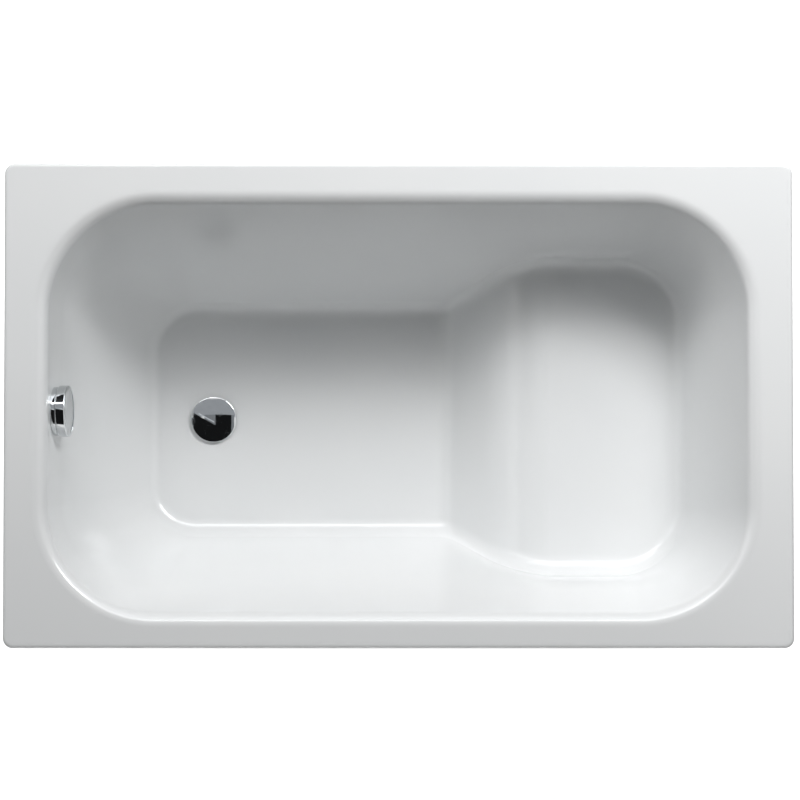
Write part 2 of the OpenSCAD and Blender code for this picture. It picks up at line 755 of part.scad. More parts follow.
// Moulded waste body: flange, cup, threaded tail, hose inlet and cable boss
module waste_body() {
    color("whitesmoke") at_drain() difference() {
        union() {
            translate([0, 0, cup_top_z]) cylinder(h = waste_flange_t, r = waste_flange_r);
            translate([0, 0, cup_bottom_z]) cylinder(h = cup_h, r = cup_r);
            translate([0, 0, tail_end_z]) cylinder(h = tail_l + 1, r = tail_r);
            translate([0, 0, inlet_z]) rotate([0, -90, 0]) cylinder(h = cup_r + spigot_l, r = spigot_r);
            translate([0, -cable_off, inlet_z]) rotate([0, -90, 0]) cylinder(h = cup_r + boss_l, r = boss_r);
            translate([-cup_r, -cable_off, inlet_z - boss_r]) cube([cup_r, cable_off, 2 * boss_r]);
        }
        translate([0, 0, funnel_top_z]) cylinder(h = cup_h + waste_flange_t, r = neck_r + gap);
        translate([0, 0, funnel_top_z])
            cylinder(h = cup_top_z - mould_wall - funnel_top_z, r = cup_r - mould_wall);
        translate([0, 0, cup_bottom_z + mould_wall])
            cylinder(h = funnel_h, r1 = tail_r - mould_wall, r2 = cup_r - mould_wall);
        translate([0, 0, tail_end_z - 1]) cylinder(h = tail_l + mould_wall + 2, r = tail_r - mould_wall);
        translate([-cup_r / 2, 0, inlet_z]) rotate([0, -90, 0])
            cylinder(h = cup_r + spigot_l, r = spigot_bore_r);
        translate([lever_arm, 0, lever_z]) rotate([90, 0, 0])
            cylinder(h = 2 * lever_pin_half, r = lever_pin_r + fit, center = true);
    }
}

// The lever's pin lies in bores in the cup's two side walls
module lever_pin() {
    color("silver") translate([lever_pin_x, well_y, lever_z]) rotate([90, 0, 0])
        cylinder(h = 2 * lever_pin_half - 0.4, r = lever_pin_r, center = true);
}

// Lift lever: a hub on the pin, an arm to the drain's axis and a nose under the stem
module lift_lever() {
    hub_r = lever_pin_r + 2.5;
    color("ivory") translate([lever_pin_x, well_y, lever_z]) rotate([90, 0, 0]) difference() {
        union() {
            cylinder(h = lever_w, r = hub_r, center = true);
            translate([-lever_arm, -2, -lever_w / 2]) cube([lever_arm, 4, lever_w]);
            translate([-lever_arm, 0, 0]) cylinder(h = lever_w, r = lever_nose_r, center = true);
        }
        cylinder(h = lever_w + 2, r = lever_pin_r + fit, center = true);
    }
}

// Plug: domed chrome cap on a stem whose shoulder holds the rubber ring
module plug_cap() {
    color("lightsteelblue") at_drain() translate([0, 0, cap_z]) difference() {
        intersection() {
            cylinder(h = cap_h, r = cap_r);
            union() {
                cylinder(h = cap_edge_h, r = cap_r);
                translate([0, 0, cap_h - cap_dome_r]) sphere(r = cap_dome_r, $fn = 180);
            }
        }
        translate([0, 0, -1]) cylinder(h = cap_edge_h + 1 - cap_wall, r = cap_r - cap_wall);
        translate([0, 0, -1]) cylinder(h = cap_edge_h + 1.5, r = stem_r + fit);
    }
}

module plug_stem() {
    color("lightsteelblue") at_drain() {
        translate([0, 0, stem_end_z]) cylinder(h = cap_z + cap_edge_h - stem_end_z, r = stem_r);
        translate([0, 0, stem_head_z])
            cylinder(h = cap_z + cap_edge_h - cap_wall - stem_head_z, r = shoulder_r);
        translate([0, 0, stem_head_z - stem_head_t]) cylinder(h = stem_head_t, r = stem_head_r);
    }
}

module plug_seal() {
    color("black") at_drain() translate([0, 0, stem_head_z]) rotate_extrude() polygon([
        [shoulder_r + fit, 0], [plug_seal_r - 1, 0], [plug_seal_r, 1], [plug_seal_r, seal_t - 1],
        [plug_seal_r - 1, seal_t], [shoulder_r + fit, seal_t]
    ]);
}

// Overflow

module overflow_gasket() {
    color("black") at_overflow() translate([0, 0, overflow_back])
        ring(overflow_flange_r - 2, overflow_hole_r + 1, seal_t);
}

// Moulded overflow body: a cup behind the wall with a spigot below and a cable boss
module overflow_body() {
    flange_t = 4;
    color("whitesmoke") difference() {
        union() {
            at_overflow() translate([0, 0, overflow_back - flange_t])
                cylinder(h = flange_t, r = overflow_flange_r);
            at_overflow() translate([0, 0, overflow_cup_end])
                cylinder(h = overflow_cup_h, r = overflow_cup_r);
            translate([hose_x, well_y, hose_top_z + gap])
                cylinder(h = overflow_z - hose_top_z - gap, r = spigot_r);
            translate([hose_x, well_y - cable_off, cable_top_z])
                cylinder(h = overflow_z - cable_top_z, r = boss_r);
        }
        at_overflow() translate([0, 0, overflow_cup_end + mould_wall])
            cylinder(h = overflow_cup_h, r = overflow_cup_r - mould_wall);
        translate([hose_x, well_y, hose_top_z]) cylinder(h = overflow_z - hose_top_z, r = spigot_bore_r);
        at_overflow() for (s = [-1, 1]) translate([0, s * screw_off, overflow_cup_end - 1])
            cylinder(h = mould_wall + 2, r = screw_r + gap);
    }
}

// Bush in the overflow hole: carries the spindle, clamps the knob's ring, leaves water ways
module overflow_bush() {
    rim = 3;
    web_r = overflow_hole_r - loose;
    lip_z = ring_base_t + gap;
    lip_top = lip_z + bush_lip_t;
    color("whitesmoke") at_overflow() difference() {
        union() {
            translate([0, 0, -sheet_t]) ring(web_r, web_r - rim, sheet_t + lip_top);
            translate([0, 0, lip_z]) ring(web_r + rim, web_r - rim, bush_lip_t);
            translate([0, 0, -2 * sheet_t]) cylinder(h = 2 * sheet_t + lip_top, r = spindle_boss_r);
            translate([-4, -web_r + 1, -sheet_t]) cube([8, 2 * web_r - 2, sheet_t + 2]);
        }
        translate([0, 0, -3 * sheet_t]) cylinder(h = 6 * sheet_t, r = spindle_r + fit);
        for (s = [-1, 1]) translate([0, s * screw_off, -sheet_t - 1])
            cylinder(h = sheet_t + 4, r = screw_r + gap);
    }
}

module clamp_screws() {
    head_z = 2;
    nut_z = overflow_cup_end - 4;
    color("silver") at_overflow() for (s = [-1, 1]) translate([0, s * screw_off, 0]) {
        translate([0, 0, nut_z]) cylinder(h = head_z - nut_z, r = screw_r);
        translate([0, 0, head_z]) cylinder(h = 2.4, r = 4);
        translate([0, 0, nut_z]) cylinder(h = 4 - gap, r = 5, $fn = 6);
    }
}

// Chromed ring on the wall behind the knob, with water slots on its lower side
module knob_ring() {
    ring_wall = 3;
    slot_w = 9;
    slot_z = ring_base_t + 1;
    color("lightsteelblue") at_overflow() difference() {
        union() {
            ring(ring_r, ring_r - ring_wall, ring_t);
            ring(ring_r, overflow_hole_r + gap, ring_base_t);
        }
        for (a = [-50, -25, 0, 25, 50]) rotate([0, 0, a])
            translate([ring_r - ring_wall - 2, -slot_w / 2, slot_z])
                cube([ring_wall + 4, slot_w, ring_t - slot_z - ring_base_t]);
    }
}

// Turn knob: a hollow chromed cap with a boss on the spindle
module turn_knob() {
    edge_r = 1.5;
    color("lightsteelblue") at_overflow() translate([0, 0, knob_z]) difference() {
        rotate_extrude() polygon(concat(
            [[0, 0], [knob_r - 1, 0], [knob_r, 1]],
            [for (a = [0:15:90]) [knob_r - edge_r + edge_r * cos(a), knob_t - edge_r + edge_r * sin(a)]],
            [[0, knob_t]]
        ));
        translate([0, 0, -1]) ring(knob_r - knob_wall, spindle_boss_r, knob_t - knob_wall + 1);
        translate([0, 0, -1]) cylinder(h = knob_t - knob_wall, r = spindle_r + fit);
    }
}

module knob_spindle() {
    spindle_top = knob_z + knob_t - knob_wall - 1.5;
    color("silver") at_overflow() translate([0, 0, spindle_end])
        cylinder(h = spindle_top - spindle_end, r = spindle_r);
}

// Crank on the spindle's inner end, which pulls the control cable
module cable_crank() {
    color("ivory") at_overflow() translate([0, 0, crank_z]) difference() {
        union() {
            cylinder(h = crank_t, r = crank_r - 2.5);
            translate([0, -2.5, 0]) cube([crank_r, 5, crank_t]);
            translate([crank_r, 0, 0]) cylinder(h = crank_t, r = 2.5);
        }
        translate([0, 0, -1]) cylinder(h = crank_t + 2, r = spindle_r + fit);
    }
}

// Hose and control cable

// Ribbed hose: plain cuffs at both ends, ribs between them, and a smooth bore
module overflow_hose() {
    sides = 8;
    ribs = floor((hose_l - 2 * hose_cuff) / rib_pitch);
    rib_step = (hose_l - 2 * hose_cuff) / ribs;
    outer = concat(
        [[0, cuff_r], [hose_cuff, cuff_r]],
        [for (i = [0:ribs - 1]) each [
            [hose_cuff + (i + 0.5) * rib_step, hose_r],
            [hose_cuff + (i + 1) * rib_step, cuff_r]
        ]],
        [[hose_l, cuff_r]]
    );
    bore_steps = 24;
    bore = [for (i = [bore_steps:-1:0]) [hose_l * i / bore_steps, hose_bore_r]];
    rings = concat(outer, bore);
    count = len(rings);
    points = [for (q = rings) each route_ring(q[0], q[1], 0, sides)];
    faces = [for (k = [0:count - 1]) each band(((k + 1) % count) * sides, k * sides, sides)];
    color("gainsboro") polyhedron(points, faces);
}

// Sleeve of the control cable, on the same route beside the hose
module cable_sleeve() {
    sides = 8;
    steps = 26;
    points = [for (i = [0:steps]) each
        route_ring(between(cable_start, cable_end, i / steps), sleeve_r, cable_off, sides)];
    faces = concat(
        [[for (i = [0:sides - 1]) i]],
        [for (k = [0:steps - 1]) each band((k + 1) * sides, k * sides, sides)],
        [[for (i = [sides - 1:-1:0]) steps * sides + i]]
    );
    color("black") polyhedron(points, faces);
}

module cable_ferrules() {
    ferrule_r = sleeve_r + 1.5;
    color("silver") {
        translate([hose_x, well_y - cable_off, cable_top_z - ferrule_l])
            cylinder(h = ferrule_l, r = ferrule_r);
        translate([drain_x - cup_r - boss_l, well_y - cable_off, inlet_z]) rotate([0, -90, 0])
            cylinder(h = ferrule_l, r = ferrule_r);
    }
}

// Grip nuts that hold the hose's cuffs on the spigots, and the seals in them
module upper_hose_nut() {
    color("whitesmoke") translate([hose_x, well_y, hose_top_z + nut_grip]) rotate([180, 0, 0])
        grip_nut(nut_r, spigot_r + gap, cuff_r + gap, nut_l);
}

module lower_hose_nut() {
    color("whitesmoke") translate([hose_end_x + nut_grip, well_y, inlet_z]) rotate([0, -90, 0])
        grip_nut(nut_r, spigot_r + gap, cuff_r + gap, nut_l);
}

module hose_seals() {
    seal_l = 5;
    color("black") {
        translate([hose_x, well_y, hose_top_z - seal_l - 1]) ring(spigot_r, cuff_r + gap, seal_l);
        translate([hose_end_x - 1, well_y, inlet_z]) rotate([0, -90, 0])
            ring(spigot_r, cuff_r + gap, seal_l);
    }
}

// Trap

module trap_union_nut() {
    union_top_z = trap_top_z - inlet_flange_t - nut_wall - gap + union_h;
    color("whitesmoke") at_drain() translate([0, 0, union_top_z]) rotate([180, 0, 0])
        grip_nut(union_r, tail_r + gap, dip_r + gap, union_h, 16);
}

module trap_inlet_seal() {
    color("black") at_drain() translate([0, 0, trap_top_z])
        ring(tail_r - loose, dip_r - mould_wall, inlet_seal_t);
}

// Inlet: a flange under the union nut, a dip tube and the lid of the bowl
module trap_inlet() {
    color("whitesmoke") at_drain() difference() {
        union() {
            translate([0, 0, trap_top_z - inlet_flange_t]) cylinder(h = inlet_flange_t, r = tail_r);
            translate([0, 0, dip_end_z]) cylinder(h = trap_top_z - dip_end_z - 1, r = dip_r);
            translate([0, 0, bowl_top_z]) cylinder(h = lid_t, r = bowl_r);
            translate([0, 0, bowl_top_z - 5]) cylinder(h = 6, r = bowl_r - mould_wall - gap);
        }
        translate([0, 0, dip_end_z - 1]) cylinder(h = trap_top_z - dip_end_z + 2, r = dip_r - mould_wall);
    }
}

module trap_bowl() {
    color("whitesmoke") at_drain() difference() {
        union() {
            translate([0, 0, bowl_z]) cylinder(h = bowl_h, r = bowl_r);
            translate([0, 0, branch_z]) rotate([0, -90, 0]) cylinder(h = bowl_r + branch_l, r = branch_r);
        }
        translate([0, 0, bowl_z + mould_wall]) cylinder(h = bowl_h, r = bowl_r - mould_wall);
        translate([-dip_r - 8, 0, branch_z]) rotate([0, -90, 0])
            cylinder(h = bowl_r + branch_l, r = outlet_r - mould_wall);
        translate([outlet_start_x - drain_x + gap, 0, branch_z]) rotate([0, -90, 0])
            cylinder(h = branch_l, r = outlet_r + gap);
    }
}

module outlet_nut() {
    color("whitesmoke") translate([outlet_nut_x, well_y, branch_z]) rotate([0, -90, 0])
        grip_nut(outlet_nut_r, branch_r + gap, outlet_r + gap, outlet_nut_l, 16);
}

module outlet_seal() {
    color("black") translate([branch_end_x - 0.5, well_y, branch_z]) rotate([0, -90, 0])
        ring(branch_r, outlet_r + gap, 4);
}

// Outlet pipe: its bead stops at the nut, and its free end is the waste connection
module outlet_pipe() {
    bead_from = outlet_start_x - outlet_nut_x + outlet_nut_l + gap;
    color("whitesmoke") translate([outlet_start_x, well_y, branch_z]) rotate([0, -90, 0]) difference() {
        union() {
            cylinder(h = outlet_l, r = outlet_r);
            translate([0, 0, bead_from]) cylinder(h = bead_l, r = outlet_r + 2);
        }
        translate([0, 0, -1]) cylinder(h = outlet_l + 2, r = outlet_r - mould_wall);
    }
}

tub_shell();
floor_damping_mat();
seat_damping_mat();
earth_tab();
deep_rail();
seat_rail();
deep_rail_pads();
seat_rail_pads();
weld_nuts();
lock_nuts();
leg_rod_drain_front();
leg_rod_drain_wall();
leg_rod_seat_front();
leg_rod_seat_wall();
foot_drain_front();
foot_drain_wall();
foot_seat_front();
foot_seat_wall();
sole_drain_front();
sole_drain_wall();
sole_seat_front();
sole_seat_wall();
strainer();
strainer_gasket();
drain_gasket();
waste_body();
plug_cap();
plug_stem();
plug_seal();
lift_lever();
lever_pin();
overflow_body();
overflow_gasket();
overflow_bush();
clamp_screws();
knob_ring();
turn_knob();
knob_spindle();
cable_crank();
overflow_hose();
upper_hose_nut();
lower_hose_nut();
hose_seals();
cable_sleeve();
cable_ferrules();
trap_union_nut();
trap_inlet_seal();
trap_inlet();
trap_bowl();
outlet_nut();
outlet_seal();
outlet_pipe();
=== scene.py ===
import math
import bmesh
import bpy
from mathutils import Matrix, Vector


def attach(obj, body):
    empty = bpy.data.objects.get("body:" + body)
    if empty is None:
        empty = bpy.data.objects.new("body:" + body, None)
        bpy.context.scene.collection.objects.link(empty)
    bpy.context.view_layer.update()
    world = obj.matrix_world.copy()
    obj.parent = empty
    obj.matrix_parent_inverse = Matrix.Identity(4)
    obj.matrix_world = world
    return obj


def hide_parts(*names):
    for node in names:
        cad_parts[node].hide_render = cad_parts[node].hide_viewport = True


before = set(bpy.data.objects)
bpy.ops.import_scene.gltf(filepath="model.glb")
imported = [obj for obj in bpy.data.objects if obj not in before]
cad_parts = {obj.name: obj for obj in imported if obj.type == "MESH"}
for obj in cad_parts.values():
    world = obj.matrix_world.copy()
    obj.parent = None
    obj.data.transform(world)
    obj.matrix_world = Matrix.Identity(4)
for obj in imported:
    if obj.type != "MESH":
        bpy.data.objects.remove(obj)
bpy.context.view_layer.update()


# Camera
# Almost straight above the rim, tilted a little to the bather's side, with a long lens.
RIM_Z = 560
camera = bpy.data.objects.new("camera", bpy.data.cameras.new("camera"))
bpy.context.scene.collection.objects.link(camera)
bpy.context.scene.camera = camera
camera_back = 5.5
camera_tilt = math.radians(2.5)
camera.location = (0, -camera_back * math.sin(camera_tilt),
                   RIM_Z / 1000 + camera_back * math.cos(camera_tilt))
camera.rotation_euler = (camera_tilt, 0, 0)
camera.data.sensor_width = 36
camera.data.lens = 165.7
camera.data.shift_x = 0.0018
camera.data.shift_y = 0.0065
camera.data.clip_end = 60


# Bath shell
# Deep-drawn sheet steel in white vitreous enamel: a flat rim with a turned-down skirt, straight side
# walls, a step up to the seat. One section of wall is swept round the well, from skirt to floor.
WELL_Y = -6.5
SHEET = 3
BATH_L, BATH_W = 1180, 725
RIM_CORNER_R = 15
SKIRT_H = 32
BEND_R = 5
ROLL_R = 22
EDGE_DRAIN_X, EDGE_SEAT_X = -547, 542
EDGE_HALF_W = 329
# The rim's inner edge is drawn 6 mm farther in on the bather's side and 1 mm on the wall side
RIM_EDGE_Y, RIM_EDGE_HALF_W = -4, 325.5
EDGE_R = 182
SIDE_SLOPE, DRAIN_SLOPE = math.radians(19.5), math.radians(7)
WALL_FLAT = 92
FILLET_R = 32
DEEP_CORNER_R, SEAT_CORNER_R = 55, 75
DEEP_D, SEAT_D = 378, 250
STEP_X, STEP_SLOPE, STEP_FOOT_R, STEP_NOSE_R = 60, math.radians(40), 38, 168
# The faint crease where the step's nose meets the seat, and what the seat gains in width on each side
STEP_CREASE = math.radians(12)
SEAT_WIDER = 14
FLOOR_DRAIN_X = EDGE_DRAIN_X + 171

nose_drop = STEP_NOSE_R * (math.cos(STEP_CREASE) - math.sin(STEP_SLOPE))
step_face_h = DEEP_D - SEAT_D - STEP_FOOT_R * (1 - math.sin(STEP_SLOPE)) - nose_drop
step_face_x = STEP_X + STEP_FOOT_R * math.cos(STEP_SLOPE)
step_nose_x = step_face_x + step_face_h * math.tan(STEP_SLOPE)
nose_centre_x = step_nose_x + STEP_NOSE_R * math.cos(STEP_SLOPE)
seat_x = nose_centre_x - STEP_NOSE_R * math.sin(STEP_CREASE)


def depth_at(x):
    if x <= STEP_X:
        return DEEP_D
    if x <= step_face_x:
        return DEEP_D - STEP_FOOT_R + math.sqrt(STEP_FOOT_R ** 2 - (x - STEP_X) ** 2)
    if x <= step_nose_x:
        return DEEP_D - STEP_FOOT_R * (1 - math.sin(STEP_SLOPE)) - (x - step_face_x) / math.tan(STEP_SLOPE)
    if x < seat_x:
        return (SEAT_D + STEP_NOSE_R * math.cos(STEP_CREASE)
                - math.sqrt(STEP_NOSE_R ** 2 - (nose_centre_x - x) ** 2))
    return SEAT_D


def wall_reach(depth, top, foot):
    drop = depth - ROLL_R * (1 - math.sin(top)) - WALL_FLAT - FILLET_R * (1 - math.sin(foot))
    return (ROLL_R * math.cos(top) + WALL_FLAT * math.tan(top) + drop * math.tan((top + foot) / 2)
            + FILLET_R * math.cos(foot))


def foot_slope(reach, depth, top):
    low, high = 0, math.radians(75)
    for _ in range(40):
        middle = (low + high) / 2
        if wall_reach(depth, top, middle) < reach:
            low = middle
        else:
            high = middle
    return middle


def wall_section(depth, top, foot):
    """The wall from the rim to the floor as (reach, depth): roll, flat stretch, sweep, fillet."""
    roll_steps, sweep_steps, fillet_steps, support = 9, 12, 10, 3
    points = []
    for i in range(roll_steps + 1):
        a = (math.pi / 2 - top) * i / roll_steps
        points.append((ROLL_R * math.sin(a), ROLL_R * (1 - math.cos(a))))
    x, y = points[-1]
    points.append((x + support * math.tan(top), y + support))
    x, y = x + WALL_FLAT * math.tan(top), y + WALL_FLAT
    points.append((x, y))
    drop = depth - y - FILLET_R * (1 - math.sin(foot))
    straight = abs(foot - top) < 1e-4
    for i in range(1, sweep_steps + 1):
        t = i / sweep_steps
        a = top + (foot - top) * t
        share = t if straight else (math.sin(a) - math.sin(top)) / (math.sin(foot) - math.sin(top))
        points.append((x + drop * share * math.tan((top + a) / 2), y + drop * share))
    x, y = points[-1]
    points[-1] = (x - support * math.tan(foot), y - support)
    points.append((x, y))
    for i in range(1, fillet_steps + 1):
        a = foot + (math.pi / 2 - foot) * i / fillet_steps
        points.append((x + FILLET_R * (math.cos(foot) - math.cos(a)),
                       y + FILLET_R * (math.sin(a) - math.sin(foot))))
    return points


side_reach_deep = wall_reach(DEEP_D, SIDE_SLOPE, SIDE_SLOPE)
side_reach_seat = wall_reach(SEAT_D, SIDE_SLOPE, SIDE_SLOPE) - SEAT_WIDER
floor_seat_x = EDGE_SEAT_X - wall_reach(SEAT_D, SIDE_SLOPE, SIDE_SLOPE)
spine_drain_x = FLOOR_DRAIN_X + DEEP_CORNER_R
spine_seat_x = floor_seat_x - SEAT_CORNER_R


def toward(angle):
    return Vector((math.cos(angle), math.sin(angle)))


def spread(start, end, count):
    """count even steps from start, without the end."""
    return [start + (end - start) * i / count for i in range(count)]


def side_stations():
    """Places along the sides, close together on the step's two rolls."""
    foot = [STEP_X + STEP_FOOT_R * math.sin(a) for a in spread(0, math.pi / 2 - STEP_SLOPE, 10)]
    nose = [nose_centre_x - STEP_NOSE_R * math.sin(a)
            for a in spread(math.pi / 2 - STEP_SLOPE, STEP_CREASE, 14)]
    return (spread(spine_drain_x, STEP_X - 4, 30) + [STEP_X - 4] + foot + [step_face_x, step_face_x + 4]
            + spread(step_face_x + 20, step_nose_x - 4, 3) + [step_nose_x - 4]
            + nose + [seat_x, seat_x + 4] + spread(seat_x + 14, spine_seat_x, 8) + [spine_seat_x])


def rim_station(x):
    """Where a rib of the side wall meets the rim: the rim's straight is a little shorter or longer."""
    if x < 0:
        return x + (EDGE_DRAIN_X + EDGE_R - spine_drain_x) * x / spine_drain_x
    if x > seat_x:
        return x + (EDGE_SEAT_X - EDGE_R - spine_seat_x) * (x - seat_x) / (spine_seat_x - seat_x)
    return x


def rib_points(rim_edge, floor_edge, reach, depth, top, outer, outward, spine):
    """One rib of points, from the skirt's lower edge over the rim and down the wall to the floor."""
    bend_steps, flat = 6, 3
    points = [Vector((*outer, RIM_Z - SKIRT_H)), Vector((*outer, RIM_Z - BEND_R - flat))]
    for a in spread(0, math.pi / 2, bend_steps) + [math.pi / 2]:
        across = outer - outward * BEND_R * (1 - math.cos(a))
        points.append(Vector((*across, RIM_Z - BEND_R * (1 - math.sin(a)))))
    points.append(Vector((*(outer - outward * (BEND_R + flat)), RIM_Z)))
    points.append(Vector((*(rim_edge + (points[-1].xy - rim_edge).normalized() * flat), RIM_Z)))
    for across, down in wall_section(depth, top, foot_slope(reach, depth, top)):
        points.append(Vector((*rim_edge.lerp(floor_edge, across / reach), RIM_Z - down)))
    centre = Vector((spine, WELL_Y))
    points.append(Vector((*(floor_edge + (centre - floor_edge).normalized() * 4), RIM_Z - depth)))
    points.append(Vector((*centre, RIM_Z - depth)))
    return points


def side_rib(x, side):
    raised = (DEEP_D - depth_at(x)) / (DEEP_D - SEAT_D)
    reach = wall_reach(depth_at(x), SIDE_SLOPE, SIDE_SLOPE) - SEAT_WIDER * raised
    rim_x = rim_station(x)
    rim_edge = Vector((rim_x, RIM_EDGE_Y + side * RIM_EDGE_HALF_W))
    floor_edge = Vector((x, WELL_Y + side * (EDGE_HALF_W - reach)))
    outer = Vector((rim_x, side * BATH_W / 2))
    reach = abs(rim_edge.y - floor_edge.y)
    return rib_points(rim_edge, floor_edge, reach, depth_at(x), SIDE_SLOPE, outer, Vector((0, side)), x)


def at_end(end):
    """What differs between the seat's end (1) and the drain's end (-1), from the rim's edge inward."""
    if end > 0:
        return EDGE_SEAT_X, floor_seat_x, SEAT_D, SIDE_SLOPE, SEAT_CORNER_R, side_reach_seat, spine_seat_x
    return EDGE_DRAIN_X, FLOOR_DRAIN_X, DEEP_D, DRAIN_SLOPE, DEEP_CORNER_R, side_reach_deep, spine_drain_x


def end_rib(end, t):
    """A rib of an end wall, where t runs across from -1 to 1."""
    edge_x, floor_x, depth, slope, corner_r, side_reach, spine = at_end(end)
    y = RIM_EDGE_Y + t * (RIM_EDGE_HALF_W - EDGE_R)
    floor_edge = Vector((floor_x, WELL_Y + t * (EDGE_HALF_W - (side_reach + corner_r))))
    return rib_points(Vector((edge_x, y)), floor_edge, abs(edge_x - floor_x), depth, slope,
                      Vector((end * BATH_L / 2, y)), Vector((end, 0)), spine)


def corner_rib(quarter, i, count):
    """A rib of a corner: quarter 0 is the seat's corner on the wall side, and they count round from it."""
    sx, sy = (1, -1, -1, 1)[quarter], (1, 1, -1, -1)[quarter]
    edge_x, _, depth, slope, corner_r, side_reach, spine = at_end(sx)
    first = math.pi / 2 * quarter
    t = i / count
    outward = toward(first + math.pi / 2 * t)
    edge_centre = Vector((edge_x - sx * EDGE_R, RIM_EDGE_Y + sy * (RIM_EDGE_HALF_W - EDGE_R)))
    floor_centre = Vector((spine, WELL_Y + sy * (EDGE_HALF_W - side_reach - corner_r)))
    rim_edge = edge_centre + EDGE_R * outward
    floor_edge = floor_centre + corner_r * outward
    end_share = 1 - t if quarter % 2 == 0 else t
    ease = end_share * end_share * (3 - 2 * end_share)
    top = SIDE_SLOPE + (slope - SIDE_SLOPE) * ease
    third = count // 3
    arc_centre = Vector((sx * (BATH_L / 2 - RIM_CORNER_R), sy * (BATH_W / 2 - RIM_CORNER_R)))
    inward, first_way, last_way = edge_centre - arc_centre, toward(first), toward(first + math.pi / 2)
    turned = first + math.pi / 2 * min(max(i - third, 0), third) / third
    outer = (arc_centre + RIM_CORNER_R * toward(turned)
             + last_way * (inward.dot(last_way) * max(1 - i / third, 0))
             + first_way * (inward.dot(first_way) * max(i / third - 2, 0)))
    reach = (rim_edge - floor_edge).dot(outward)
    return rib_points(rim_edge, floor_edge, reach, depth, top, outer, toward(turned), spine)


def shell_ribs():
    """All ribs in order round the well: each straight wall is followed by the corner after it."""
    corner_count, end_count = 36, 10
    stations = side_stations()
    straights = ([end_rib(1, t) for t in spread(-1, 1, end_count)],
                 [side_rib(x, 1) for x in stations[:0:-1]],
                 [end_rib(-1, t) for t in spread(1, -1, end_count)],
                 [side_rib(x, -1) for x in stations[:-1]])
    ribs = []
    for quarter, straight in enumerate(straights):
        ribs += straight + [corner_rib(quarter, i, corner_count) for i in range(corner_count)]
    return ribs


def as_object(name, shape):
    """Makes a bmesh an object of the scene and uses it up."""
    mesh = bpy.data.meshes.new(name)
    shape.to_mesh(mesh)
    shape.free()
    made = bpy.data.objects.new(name, mesh)
    bpy.context.scene.collection.objects.link(made)
    return made


def cut_with(shape, cutter, operation="DIFFERENCE"):
    """Cuts a bmesh by another one and returns the result. Both are used up."""
    objects = [as_object("cut", source) for source in (shape, cutter)]
    cut = objects[0].modifiers.new("cut", "BOOLEAN")
    cut.object, cut.operation, cut.solver = objects[1], operation, "EXACT"
    done = bmesh.new()
    done.from_object(objects[0], bpy.context.evaluated_depsgraph_get())
    for used in objects:
        bpy.data.meshes.remove(used.data)
    return done


def linear(hex_colour):
    """An sRGB hex colour as the linear colour that a shader takes."""
    parts = [int(hex_colour[i:i + 2], 16) / 255 for i in (1, 3, 5)]
    return (*[c / 12.92 if c <= 0.04045 else ((c + 0.055) / 1.055) ** 2.4 for c in parts], 1)


def wire(tree, target, inputs):
    """Sets a node's inputs: each is a value, or another node's output that is linked to it."""
    for socket, value in inputs.items():
        if isinstance(value, bpy.types.NodeSocket):
            tree.links.new(value, target.inputs[socket])
        else:
            target.inputs[socket].default_value = value


def add_node(tree, kind, settings, inputs):
    made = tree.nodes.new("ShaderNode" + kind)
    for setting, value in settings.items():
        setattr(made, setting, value)
    wire(tree, made, inputs)
    return made


def new_finish(name, **constants):
    """A new material, with the numbers that are the same all over it on its shader."""
    finish = bpy.data.materials.new(name)
    finish.use_nodes = True
    shader = finish.node_tree.nodes["Principled BSDF"]
    wire(finish.node_tree, shader, {key.replace("_", " "): value for key, value in constants.items()})
    return finish, finish.node_tree, shader


def toned_finish(name, scale, detail, first, second, **constants):
    """A finish whose colour drifts between two tones, and the parts that a section adds to."""
    finish, tree, shader = new_finish(name, **constants)
    place = add_node(tree, "TexCoord", {}, {}).outputs["Object"]
    drift = add_node(tree, "TexNoise", {}, {"Vector": place, "Scale": scale, "Detail": detail}).outputs[0]
    tone = add_node(tree, "Mix", {"data_type": "RGBA"}, {0: drift, 6: linear(first), 7: linear(second)})
    wire(tree, shader, {"Base Color": tone.outputs[2]})
    return finish, tree, shader, place, drift


def add_grain(tree, shader, place, scale, detail, strength, distance):
    """Raises the surface a little by a fine noise."""
    grain = add_node(tree, "TexNoise", {}, {"Vector": place, "Scale": scale, "Detail": detail}).outputs[0]
    relief = add_node(tree, "Bump", {}, {"Height": grain, "Strength": strength, "Distance": distance})
    wire(tree, shader, {"Normal": relief.outputs[0]})


def add_piece(name, shape, finishes, body, nodes, sharp=35):
    """Makes a bmesh in millimetres an object in metres, which rides on a body and stands for CAD nodes."""
    bmesh.ops.scale(shape, vec=(0.001, 0.001, 0.001), verts=shape.verts)
    made = as_object(name, shape)
    made.data.shade_smooth()
    made.data.set_sharp_from_angle(angle=math.radians(sharp))
    for finish in finishes:
        made.data.materials.append(finish)
    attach(made, body)
    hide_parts(*nodes)


# Vitreous enamel, fired in two coats: deep gloss over a faint orange peel, a touch uneven in tone
enamel, tree, shader, place, _ = toned_finish("white_vitreous_enamel", 5.0, 3.0, "#E5E7E8", "#EAEBEB",
                                              Roughness=0.16)
add_grain(tree, shader, place, 160.0, 2.0, 0.12, 0.0002)

